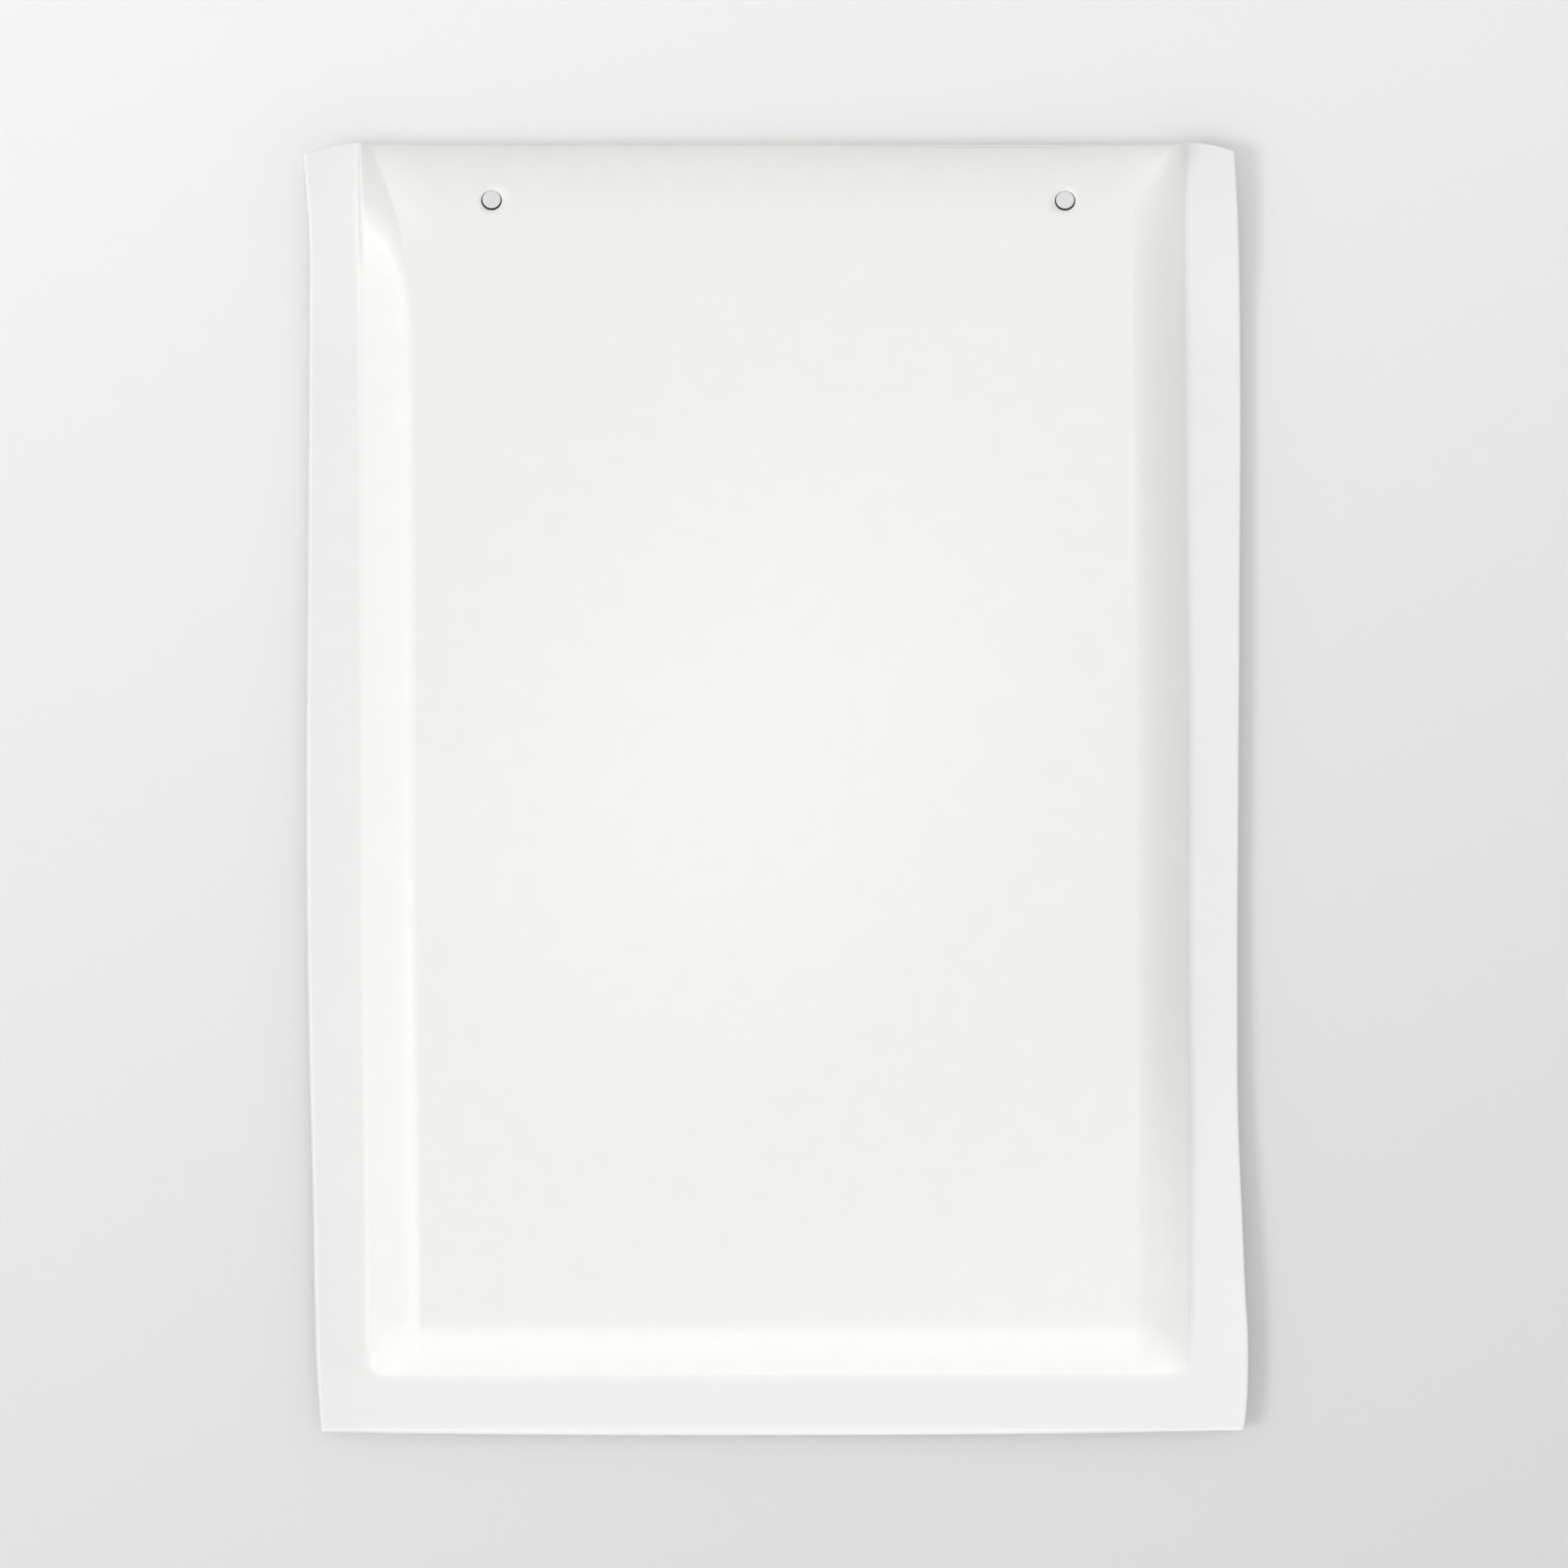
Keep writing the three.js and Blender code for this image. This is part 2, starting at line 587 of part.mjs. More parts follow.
const whitePaper = new THREE.MeshStandardMaterial({ color: 0xf0f0ec, roughness: 0.85, metalness: 0 });
const clearFilm = new THREE.MeshStandardMaterial({
  color: 0xe4ebee,
  roughness: 0.25,
  metalness: 0,
  transparent: true,
  opacity: 0.6,
});
const sealFilm = new THREE.MeshStandardMaterial({ color: 0xdfe4e6, roughness: 0.4, metalness: 0 });
const hotMelt = new THREE.MeshStandardMaterial({ color: 0xe8e2c8, roughness: 0.3, metalness: 0 });
const siliconePaper = new THREE.MeshStandardMaterial({ color: 0xe9e6d6, roughness: 0.45, metalness: 0 });

function piece(name, geometry, material) {
  const mesh = new THREE.Mesh(geometry, material);
  mesh.name = name;
  return mesh;
}

const front = frontRows();
const back = backRows();

const envelope = new THREE.Group();
envelope.add(
  piece("front_panel", punch(panelGeometry(front, 1, true)), whitePaper),
  piece("back_panel", panelGeometry(back, -1, false), whitePaper),
  piece("front_bubble_web", formedWebGeometry(front, 1), clearFilm),
  piece("front_backing_film", backingFilmGeometry(1), clearFilm),
  piece("back_backing_film", backingFilmGeometry(-1), clearFilm),
  piece("back_bubble_web", formedWebGeometry(back, -1), clearFilm),
  piece("left_side_seal", sideSealGeometry(-1), sealFilm),
  piece("right_side_seal", sideSealGeometry(1), sealFilm),
  piece("bottom_seal", bottomSealGeometry(), sealFilm),
);

// The flap turns about the fold, and the release strip peels off along the adhesive.
const hinge = new THREE.Vector3(0, FOLD_Y + FOLD_CLEARANCE, CREASE_LEVEL + LAYER_GAP / 2);
const adhesiveFrom = FLAP_END_Y + STRIP_EDGE;
const adhesiveTo = adhesiveFrom + ADHESIVE_WIDTH;
const adhesiveGeometry = stripGeometry(ADHESIVE_LENGTH, adhesiveFrom, adhesiveTo, ADHESIVE_LEVEL, ADHESIVE);
const releaseGeometry = stripGeometry(
  ADHESIVE_LENGTH + 2 * RELEASE_TAB,
  adhesiveFrom - RELEASE_OVERHANG,
  adhesiveTo + RELEASE_OVERHANG,
  RELEASE_LEVEL,
  RELEASE_PAPER,
);

const flap = new THREE.Group();
flap.position.copy(hinge);
flap.add(
  piece("closing_flap", flapGeometry(), whitePaper),
  piece("adhesive_strip", adhesiveGeometry, hotMelt),
  piece("release_strip", releaseGeometry, siliconePaper),
);
for (const { geometry } of flap.children) geometry.translate(-hinge.x, -hinge.y, -hinge.z);

const bubbleMailer = new THREE.Group();
bubbleMailer.add(envelope, flap);

export default bubbleMailer;
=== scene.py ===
"""A padded bubble mailer: its paper, bubble film, seals and closure, and the studio it lies in.

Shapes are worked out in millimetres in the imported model's frame, and put into metres when a
mesh is made. X runs to the right, Y to the folded top edge and Z up out of the address face.
"""

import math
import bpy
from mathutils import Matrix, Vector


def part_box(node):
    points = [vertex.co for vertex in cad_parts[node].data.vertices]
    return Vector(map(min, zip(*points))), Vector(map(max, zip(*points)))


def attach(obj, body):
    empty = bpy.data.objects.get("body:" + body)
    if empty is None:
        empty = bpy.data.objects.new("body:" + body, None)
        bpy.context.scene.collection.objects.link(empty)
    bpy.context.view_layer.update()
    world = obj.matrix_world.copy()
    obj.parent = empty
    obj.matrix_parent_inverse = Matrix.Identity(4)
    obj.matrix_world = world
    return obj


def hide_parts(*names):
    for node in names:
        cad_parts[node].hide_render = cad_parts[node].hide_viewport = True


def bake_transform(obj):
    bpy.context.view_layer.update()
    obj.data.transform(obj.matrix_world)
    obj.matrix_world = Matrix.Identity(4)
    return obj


bl_info = {
    "name": "Padded bubble mailer",
    "version": (1, 0, 0),
    "blender": (4, 5, 0),
    "location": "View3D > Sidebar > Mailer",
    "description": "Makes the paper, bubble film, seals and closure of a padded envelope",
    "category": "Add Mesh",
}

import bmesh
import bpy
import numpy as np
from bpy.props import FloatProperty, FloatVectorProperty, PointerProperty
from bpy.types import Operator, Panel, PropertyGroup
from mathutils import Vector

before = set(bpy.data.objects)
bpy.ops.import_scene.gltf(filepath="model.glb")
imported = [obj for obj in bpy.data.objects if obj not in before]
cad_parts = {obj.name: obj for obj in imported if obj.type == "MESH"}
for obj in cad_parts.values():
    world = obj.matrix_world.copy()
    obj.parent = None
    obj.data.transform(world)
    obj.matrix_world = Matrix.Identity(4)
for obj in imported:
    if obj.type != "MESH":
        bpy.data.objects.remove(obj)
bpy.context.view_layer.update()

MM = 0.001
FINISH_PREFIX = "mailer "


def node_box(node):
    """A node's lowest and highest corner in millimetres."""
    return [np.array(corner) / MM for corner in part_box(node)]


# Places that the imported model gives
SEAL_BOX = node_box("left_side_seal")
FLAP_BOX = node_box("closing_flap")
LINER_BOX = node_box("front_bubble_web")
BACK_WEB_BOX = node_box("back_bubble_web")
FRONT_BOX = node_box("front_panel")
BACK_BOX = node_box("back_panel")
ADHESIVE_BOX = node_box("adhesive_strip")
RELEASE_BOX = node_box("release_strip")
FRONT_BACKING_BOX = node_box("front_backing_film")
BACK_BACKING_BOX = node_box("back_backing_film")

SEAL_WIDTH = 8.0
SIDE_FLANGE = 12.0
BOTTOM_FLANGE = 12.2
# Share of a flange that is pressed down beside its trimmed edge, and how much of that the back follows
TURNED_SHARE = 0.055
BACK_TURN = 0.4
SEAM_X = -SEAL_BOX[0][0] - SEAL_WIDTH
SEAM_Y = node_box("bottom_seal")[0][1] + SEAL_WIDTH
SEAM_LEVEL = (SEAL_BOX[0][2] + SEAL_BOX[1][2]) / 2
FOLD_Y = FLAP_BOX[1][1]
FLAP_END_Y = FLAP_BOX[0][1]
MOUTH_Y = BACK_BOX[1][1]
PAPER = 0.2
FLANGE_OUTER = 0.375
PILLOW_RISE = FRONT_BOX[1][2] - SEAM_LEVEL - FLANGE_OUTER
CREASE_LEVEL = FLAP_BOX[1][2]
FLAP_STACK = 0.7
STEP_FROM_Y = 80.0
STEP_TO_Y = 86.0
LINER_TOP = LINER_BOX[1][1]
LINER_CORNER = 8.0
CORNER_RADIUS = 2.3
SHOULDER_POWER = 1.6
# The flanges' soft waves as (height, length of a radian, phase), and how they grow to the trimmed edges
RIGHT_WAVE = (0.25, 31, 0.6)
LEFT_WAVE = (0.25, 37, 1.9)
BOTTOM_WAVE = (0.3, 41, 0.4)
WAVE_GROWTH = 1.6
# Where the lower side flanges lift, how far along, and by how much on the left
LIFT_Y = -112
LIFT_REACH = 34
LEFT_LIFT = 0.3
# Where the flanges begin to rise towards the fold, over what length, and how far the right edge stays behind
RAISE_FROM_Y = 92
RAISE_LENGTH = 42
RIGHT_EDGE_LAG = 0.4
# The holes' rims are turned in by a width and down by a drop. Beyond a reach in radii the grid is even
RIM_WIDTH = 0.22
RIM_DROP = 0.3
RIM_RING = 0.9
HOLE_REACH = 2.6
# The film that bulges up in each hole: radius and depth under the paper's face, from its middle out
BULGE = [(0.001, 0.3), (0.9, 0.31), (1.5, 0.32), (1.9, 0.36), (1.98, 0.44), (2.0, 0.7), (2.0, 2.5)]
BULGE_SHIFT = 0.26
BULGE_SIDES = 32
HEM_DEPTH = 2.6
# The tucked paper at the upper left corner: its levels in shares of the rise, how far the valley
# reaches beyond the crease, and where it starts up the envelope, over what length, and how much
# lower it starts beside the crease
TUCK_RIDGE = 0.97
TUCK_VALLEY = 0.79
RIDGE_SHARE = 0.15
TUCK_REACH = 10.0
TUCK_START = 110.5
TUCK_GROWTH = 14.5
TUCK_LEAN = 4.0
FLAP_HALF_WIDTH = FLAP_BOX[1][0]
FLAP_TAPER = 3.0
FLAP_CORNER = 9.0
# How far behind the crease the flap has come to its own width
FLAP_SETTLING = 4
FILM = 0.15
SMOOTH_FILM = 0.12
BUBBLE_HEIGHT = 3.0
# An air cell's rings: (share of the foot's radius, share of the height), and how many sides it has
CELL_RINGS = [(1.0, 0.0), (0.965, 0.3), (0.86, 0.68), (0.62, 0.93), (0.3, 1.0)]
CELL_SIDES = 12
# How many rows and columns of cells lie either side of the middle before they are trimmed. A cell
# that comes nearer its liner's outline or hem than these margins is left flat
CELL_ROWS = 14
CELL_COLUMNS = 9
CELL_MARGIN = 0.5
HEM_MARGIN = 0.2
# A film's least distance from the paper's face
FILM_GAP = PAPER + 0.25
# The hem at a liner's mouth: how far below the holes it starts, the height of its first row, the
# spacing of the others, and how far it stays above the film's own level
HEM_START = 0.5
HEM_LIP = 0.3
HEM_SPACING = 0.6
HEM_LEAST = 0.05
# A weld across its seam, inwards: where its films begin to part, the root between them, their first
# lines and their ends. Then the power of the curve, the least slit, and the fade at the weld's ends
FORK_START = 0.2
FORK_ROOT = 0.4
FORK_FIRST = 0.45
FORK_END = 1.7
FORK_POWER = 0.8
FORK_SLIT = 0.01
FORK_FADE = 8
CRIMP_HEIGHT = 0.02
CRIMP_PITCH = 1.2
ADHESIVE_CORNER = 1.2
RELEASE_CORNER = 2.0
RELEASE_CURL = 0.06
CURL_LENGTH = 6
# How far either side of the side seams and the bottom seam the flange's greyer paper, which is painted
# shade, takes over
FLANGE_SHADE_SIDE = 1.0
FLANGE_SHADE_BOTTOM = 0.6

# Limits for repairs, in metres and square metres, and a length in millimetres that divides safely
WELD_DISTANCE = 0.000002
SLIVER_AREA = 1e-10
NEARLY_NOTHING = 1e-6

# Spacing of the grids' lines: on the flat, beside its edge, by the holes and the mouth, over the back
# sheet's step, on the flap and on the strips
FLAT_SPACING = 1.8
EDGE_SPACING = 1.0
FINE_SPACING = 0.7
STEP_SPACING = 0.75
FLAP_SPACING = 2.0
STRIP_SPACING = 2.5
# How many lines there are across a slope, the flap's roll, the top above the holes, the flap's
# corners, a strip's corners and its width, and a weld's length, band and fork
SLOPE_COUNT = 18
FLAP_ROLL_COUNT = 24
TOP_COUNT = 17
FLAP_CORNER_COUNT = 13
STRIP_CORNER_COUNT = 8
STRIP_COUNT = 11
SEAL_COUNT = 90
BAND_COUNT = 22
FORK_COUNT = 9
# Lines across a flange as shares of its width, and even cells out from a hole's centre to its edge
FLANGE_LINES = np.array([0, 0.12, 0.28, 0.46, 0.64, 0.8, 0.9, 0.94, 0.95, 1.0])
HOLE_CELLS = 4
# The columns out to here stay where they are, apart from HOLE_SHIFT
SHOULDER_X = 66.0
# How far the flat and its two holes lie to the right of the middle
HOLE_SHIFT = 0.7
# Lines beside the flat's edge, outwards from it, and where the slope's own lines go on
FLAT_EDGE_LINES = [-0.7, -0.35, 0, 0.12, 0.24, 0.36, 0.5]
FLAT_EDGE_END = 0.8

# Camera straight above and lamps, in metres, degrees and watts. A lamp's direction points towards it
CAMERA_PLACE = (0.0019, 0.001)
CAMERA_DISTANCE = 1.8583
CAMERA_LENS = 200.0
SENSOR_WIDTH = 36.0
SURROUNDINGS = 0.755
WINDOW = (-0.70, -0.18, 0.69), 0.76, 20
REFLECTOR = (-0.10, -0.90, 0.42), 0.64, 40
MIDDLE_GLOW = (-0.005, 0.010, 0.0), (0, 0, 1), 1.2, 9.0, 3.0
MIDDLE_GLOW_TURN = 55
MIDDLE_GLOW_NARROWING = 0.5
CORNER_GLOW = (0.086, -0.126, 0.007), (0.97, 0.10, 0.18), 1.0, 5.0, 13.5
GROUND_SPAN = 4000.0
GROUND_LEVEL = -0.05
# The ground's shading: which way it runs, and how fast it changes for a metre
GROUND_TURN = -119.4
GROUND_RATE = 2.19

# Readings of the photograph in millimetres from the envelope's middle, as pairs of a place along
# the edge and the edge's own place
LEFT_OUTLINE = [(-137, -97.02), (-134.7, -97.22), (-126, -97.82), (-108.7, -98.42), (-91.4, -98.72),
                (-56.8, -99.62), (-5, -100.22), (47, -99.92), (99, -99.62), (116, -99.54), (123.3, -99.84),
                (130.2, -100.44), (136, -100.84)]
RIGHT_OUTLINE = [(-137, 100.02), (-131, 100.72), (-126, 100.92), (-117.4, 100.92), (-108.7, 100.42),
                 (-91.4, 99.72), (-74, 99.02), (-39.5, 98.82), (-4.8, 99.02), (47, 99.32), (81.7, 99.52),
                 (113, 99.17), (123.3, 98.87), (130.2, 98.47), (136, 98.17)]
BOTTOM_OUTLINE = [(-100, -137.35), (-87.4, -137.65), (-61.5, -137.95), (0, -138.15), (42.4, -137.95),
                  (77, -137.55), (100, -137.05)]
TOP_OUTLINE = [(-100, 135.2), (-98, 135.8), (-96.2, 136.4), (-93.7, 137.0), (-90.4, 137.6),
               (-86.4, 137.9), (-80.5, 137.5), (-72, 137.3), (0, 137.2), (76, 137.3), (82.3, 137.6),
               (88, 137.9), (93.1, 137.5), (97.6, 136.6), (100, 135.9)]
LEFT_SEAM = [(-125, -86.6), (-108.7, -86.6), (-74, -87.0), (-39.5, -87.5), (0, -87.7), (64, -88.1),
             (99, -88.5), (137.5, -88.6)]
RIGHT_SEAM = [(-125, 88.2), (-74, 88.7), (-39.5, 88.3), (0, 88.3), (64, 87.8), (99, 87.5), (137.5, 87.5)]
BOTTOM_SEAM = [(-88, -125.5), (0, -125.2), (84, -124.8)]
# How wide each slope is beside the folded top, as a share of its full width: the corner creases
LEFT_CREASE = [(98, 1.0), (108, 0.92), (116.5, 0.78), (121, 0.71), (128.6, 0.49), (133, 0.34),
               (136, 0.24), (137.5, 0.16)]
RIGHT_CREASE = [(112, 1.0), (120, 1.0), (123.3, 0.98), (126.4, 0.86), (130, 0.66), (133.7, 0.43),
                (137.5, 0.22)]
# How deep the rounded top reaches towards the upper right corner, as a share of its full depth
TOP_CREASE = [(60, 1.0), (68, 1.0), (72, 0.94), (76, 0.73), (79.8, 0.4), (82.5, 0.22), (85, 0.1),
              (88, 0.06)]


class MailerSizes(PropertyGroup):
    slope_width: FloatProperty(
        name="Slope width", description="From a seam to the flat of the pillow",
        default=0.0115, min=0.002, max=0.03, unit="LENGTH", precision=4)
    roll_depth: FloatProperty(
        name="Roll depth", description="From the folded top edge to the flat of the pillow",
        default=0.0195, min=0.005, max=0.04, unit="LENGTH", precision=4)
    edge_turn: FloatProperty(
        name="Edge turn", description="How far the trimmed left and bottom edges are pressed down",
        default=0.0007, min=0.0, max=0.001, unit="LENGTH", precision=5)
    seam_sink: FloatProperty(
        name="Seam sink", description="How much lower the flanges lie than halfway up the pillow",
        default=0.003, min=0.0, max=0.004, unit="LENGTH", precision=4)
    flange_lift: FloatProperty(
        name="Flange lift", description="How far the lower right flange stands up at its edge",
        default=0.0016, min=0.0, max=0.004, unit="LENGTH", precision=4)
    hole_diameter: FloatProperty(
        name="Hole diameter", description="Round holes punched in the front sheet",
        default=0.0048, min=0.002, max=0.01, unit="LENGTH", precision=4)
    hole_spacing: FloatProperty(
        name="Hole spacing", description="From one punched hole's centre to the other's",
        default=0.122, min=0.05, max=0.16, unit="LENGTH", precision=4)
    hole_drop: FloatProperty(
        name="Hole drop", description="From the folded top edge to the holes' centres",
        default=0.0122, min=0.006, max=0.016, unit="LENGTH", precision=4)
    bubble_pitch: FloatProperty(
        name="Bubble pitch", description="From one air cell's centre to the next",
        default=0.0126, min=0.006, max=0.03, unit="LENGTH", precision=4)
    bubble_width: FloatProperty(
        name="Bubble width", description="Across an air cell at its foot",
        default=0.0106, min=0.004, max=0.028, unit="LENGTH", precision=4)


class MailerColours(PropertyGroup):
    paper: FloatVectorProperty(
        name="Paper", description="White kraft paper of the outside and the flap",
        default=(0.875, 0.878, 0.85), min=0, max=1, subtype="COLOR")
    # Painted shade: a greyer copy of the paper that keeps the welded flanges darker than the pillow
    flange: FloatVectorProperty(
        name="Flange paper", description="The same paper where it is welded down",
        default=(0.845, 0.845, 0.842), min=0, max=1, subtype="COLOR")
    film: FloatVectorProperty(
        name="Bubble film", description="Clear polyethylene of the liners",
        default=(0.84, 0.85, 0.85), min=0, max=1, subtype="COLOR")
    seal: FloatVectorProperty(
        name="Seal film", description="Liner film crushed and welded in the flanges",
        default=(0.86, 0.89, 0.9), min=0, max=1, subtype="COLOR")
    adhesive: FloatVectorProperty(
        name="Adhesive", description="Pressure-sensitive hot melt across the flap",
        default=(0.9, 0.87, 0.76), min=0, max=1, subtype="COLOR")
    release: FloatVectorProperty(
        name="Release paper", description="Siliconed paper over the adhesive",
        default=(0.89, 0.87, 0.8), min=0, max=1, subtype="COLOR")
    # Painted light falloff: the ground's colour goes from its lit end at the upper left of the view to its
    # shaded end at the lower right
    ground_lit_end: FloatVectorProperty(
        name="Ground, light end", description="Ground colour at the upper left of the view",
        default=(0.915, 0.915, 0.915), min=0, max=1, subtype="COLOR")
    ground_shaded_end: FloatVectorProperty(
        name="Ground, dark end", description="Ground colour at the lower right of the view",
        default=(0.685, 0.685, 0.685), min=0, max=1, subtype="COLOR")


def sizes():
    return bpy.context.scene.mailer_sizes


def colours():
    return bpy.context.scene.mailer_colours


def in_mm(value):
    return value / MM


def smooth_step(share):
    """Three times the square less twice the cube of the share, held between 0 and 1."""
    s = np.clip(share, 0, 1)
    return s * s * (3 - 2 * s)


def quarter_ellipse(share):
    """Height of a slope, 0 at its foot and 1 from its top on: the upper left quarter of an ellipse."""
    s = np.clip(share, 0, 1)
    return np.sqrt(s * (2 - s))


def edge_at(readings, place):
    """Smooth line through the readings: a cubic on each span, whose slopes are the readings' mean
    slopes."""
    at, value = np.array(readings, float).T
    slope = np.gradient(value, at)
    place = np.clip(place, at[0], at[-1])
    i = np.clip(np.searchsorted(at, place) - 1, 0, len(at) - 2)
    span = at[i + 1] - at[i]
    t = (place - at[i]) / span
    rise = smooth_step(t)
    leave = t * (1 - t) ** 2 * span * slope[i]
    arrive = t * t * (1 - t) * span * slope[i + 1]
    return value[i] + (value[i + 1] - value[i]) * rise + leave - arrive


def stretch(value, knots, targets):
    """Straight lines between knots: a value on a knot goes to that knot's target, which may be an
    array."""
    out = np.broadcast_to(targets[0], value.shape).astype(float).copy()
    for low, high, a, b in zip(knots, knots[1:], targets, targets[1:]):
        share = np.clip((value - low) / (high - low), 0, 1)
        out = np.where(value >= low, a + (b - a) * share, out)
    return out


def slope_share(x):
    """How far in a place lies on its side slope, 0 at the seam and 1 at the flat."""
    return np.clip((SEAM_X - np.abs(x)) / in_mm(sizes().slope_width), 0, 1)


def plan_x(x, y, creased):
    """X of a grid point in the photographed plan: the outlines, seams and corner creases at that
    place up the envelope."""
    width = in_mm(sizes().slope_width)
    left, right = edge_at(LEFT_SEAM, y), edge_at(RIGHT_SEAM, y)
    left_share = edge_at(LEFT_CREASE, y) if creased else 1.0
    right_share = edge_at(RIGHT_CREASE, y) if creased else 1.0
    flat = SEAM_X - width
    half = [SHOULDER_X, flat, SEAM_X, SEAM_X + SIDE_FLANGE]
    knots = [-place for place in reversed(half)] + half
    targets = [edge_at(LEFT_OUTLINE, y), left, left + width * left_share, HOLE_SHIFT - SHOULDER_X,
               HOLE_SHIFT + SHOULDER_X, right - width * right_share, right, edge_at(RIGHT_OUTLINE, y)]
    return stretch(x, knots, targets)


def plan_y(x, y):
    """Y of a grid point in the photographed plan: bottom outline, bottom seam and top outline."""
    width, depth = in_mm(sizes().slope_width), in_mm(sizes().roll_depth)
    seam = edge_at(BOTTOM_SEAM, x)
    knots = [SEAM_Y - BOTTOM_FLANGE, SEAM_Y, SEAM_Y + width, FOLD_Y - depth, FOLD_Y]
    targets = [edge_at(BOTTOM_OUTLINE, x), seam, seam + width, FOLD_Y - depth, edge_at(TOP_OUTLINE, x)]
    return stretch(y, knots, targets)


def flange_share(x, y):
    """How far out a place lies on its flange, 0 at the seam and 1 at the trimmed edge."""
    side = np.clip((np.abs(x) - SEAM_X) / SIDE_FLANGE, 0, 1)
    bottom = np.clip((SEAM_Y - y) / BOTTOM_FLANGE, 0, 1)
    return side, bottom


def wave(place, height, length, phase):
    """Squared sine of the place over the length and past the phase, times the height."""
    return height * np.sin(place / length + phase) ** 2


def flange_wave(x, y):
    """Height of the flanges over the seam's level: long soft waves that grow to the trimmed edges,
    and a lift at the lower side flanges, bell-shaped along the edge."""
    side, bottom = flange_share(x, y)
    lower = np.exp(-(((y - LIFT_Y) / LIFT_REACH) ** 2))
    right = in_mm(sizes().flange_lift) * lower + wave(y, *RIGHT_WAVE)
    left = LEFT_LIFT * lower + wave(y, *LEFT_WAVE)
    along = wave(x, *BOTTOM_WAVE)
    return np.where(x > 0, right, left) * side ** WAVE_GROWTH + along * bottom ** WAVE_GROWTH


def edge_turn(x, y):
    """How far a trimmed edge is pressed down: evenly over the last share of the left and bottom
    flanges."""
    side, bottom = flange_share(x, y)
    turned = np.maximum(np.where(x < 0, side, 0.0), bottom)
    return in_mm(sizes().edge_turn) * np.clip((turned - (1 - TURNED_SHARE)) / TURNED_SHARE, 0, 1)


def soft_slope(share):
    """Height of a side or bottom slope as photographed: an even incline with a rounded shoulder.
    1 less the shoulder's power of the share that is left."""
    return 1 - (1 - np.clip(share, 0, 1)) ** SHOULDER_POWER


def tucked_slope(share, beyond):
    """Height of the paper about the upper left crease: up by a cube law to a ridge beside the seam,
    evenly down from there to the crease, and up again beyond it like the other slopes."""
    ridge = TUCK_RIDGE * (1 - (1 - np.clip(share / RIDGE_SHARE, 0, 1)) ** 3)
    inwards = np.clip((share - RIDGE_SHARE) / (1 - RIDGE_SHARE), 0, 1)
    valley = ridge - (TUCK_RIDGE - TUCK_VALLEY) * inwards
    return valley + (1 - TUCK_VALLEY) * soft_slope(beyond / TUCK_REACH)


def pillow_share(x, y):
    """Share of the pillow's rise on the true quarter ellipses of the side and bottom slopes."""
    return quarter_ellipse(slope_share(x)) * quarter_ellipse((y - SEAM_Y) / in_mm(sizes().slope_width))


def top_share(x, y, up):
    """Share of the rise on the rounded top as photographed: a quarter ellipse that is shallower
    towards the upper right corner, so that the flat runs up into it as a soft ridge."""
    depth = in_mm(sizes().roll_depth) * edge_at(TOP_CREASE, plan_x(x, up, True))
    return quarter_ellipse((FOLD_Y - y) / depth)


def soft_share(x, y, up):
    """The same share as photographed. The upper left slope is tucked in above the place up the
    envelope where its white begins, and the foot turns each bottom corner on a small radius."""
    width = in_mm(sizes().slope_width)
    share = slope_share(x)
    crease = edge_at(LEFT_SEAM, up) + width * edge_at(LEFT_CREASE, up)
    beyond = np.where(share < 1, 0, plan_x(x, up, True) - crease)
    lean = TUCK_LEAN * share
    tucked = smooth_step((up - TUCK_START + lean) / (TUCK_GROWTH + lean)) * (x < 0)
    side = soft_slope(share) * (1 - tucked) + tucked_slope(share, beyond) * tucked
    rise = y - SEAM_Y
    inward = SEAM_X - np.abs(x)
    corner_x = np.maximum(CORNER_RADIUS - inward, 0)
    corner_y = np.maximum(CORNER_RADIUS - rise, 0)
    corner = CORNER_RADIUS - np.hypot(corner_x, corner_y)
    nearest = np.clip(np.minimum(inward, rise), NEARLY_NOTHING, CORNER_RADIUS)
    turn = soft_slope(corner / width) / soft_slope(nearest / width)
    return side * soft_slope(rise / width) * np.clip(turn, 0, 1)


def flange_level(x, up):
    """Middle of the flanges: sunk below halfway, up again towards the fold, where the right one's
    edge stays a little lower than its seam, and with their waves."""
    outwards = np.where(x > 0, flange_share(x, up)[0], 0)
    raised = smooth_step((up - RAISE_FROM_Y) / RAISE_LENGTH) * (1 - RIGHT_EDGE_LAG * outwards)
    return SEAM_LEVEL - in_mm(sizes().seam_sink) * (1 - raised) + flange_wave(x, up)


def back_top(y):
    """Share of the back pillow's rise along Y: full, stepped up over the folded flap, and rolled up
    to the mouth."""
    depth = in_mm(sizes().roll_depth)
    stepped = 1 - FLAP_STACK / PILLOW_RISE
    step = 1 + (stepped - 1) * smooth_step((y - STEP_FROM_Y) / (STEP_TO_Y - STEP_FROM_Y))
    round_share = (FOLD_Y - FLAP_STACK - y) / (depth - FLAP_STACK)
    return step * quarter_ellipse(round_share)


def true_faces(x, y):
    """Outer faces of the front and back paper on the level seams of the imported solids."""
    share = pillow_share(x, y)
    top = quarter_ellipse((FOLD_Y - y) / in_mm(sizes().roll_depth))
    front = SEAM_LEVEL + FLANGE_OUTER + PILLOW_RISE * share * top
    return front, SEAM_LEVEL - FLANGE_OUTER - PILLOW_RISE * share * back_top(y)


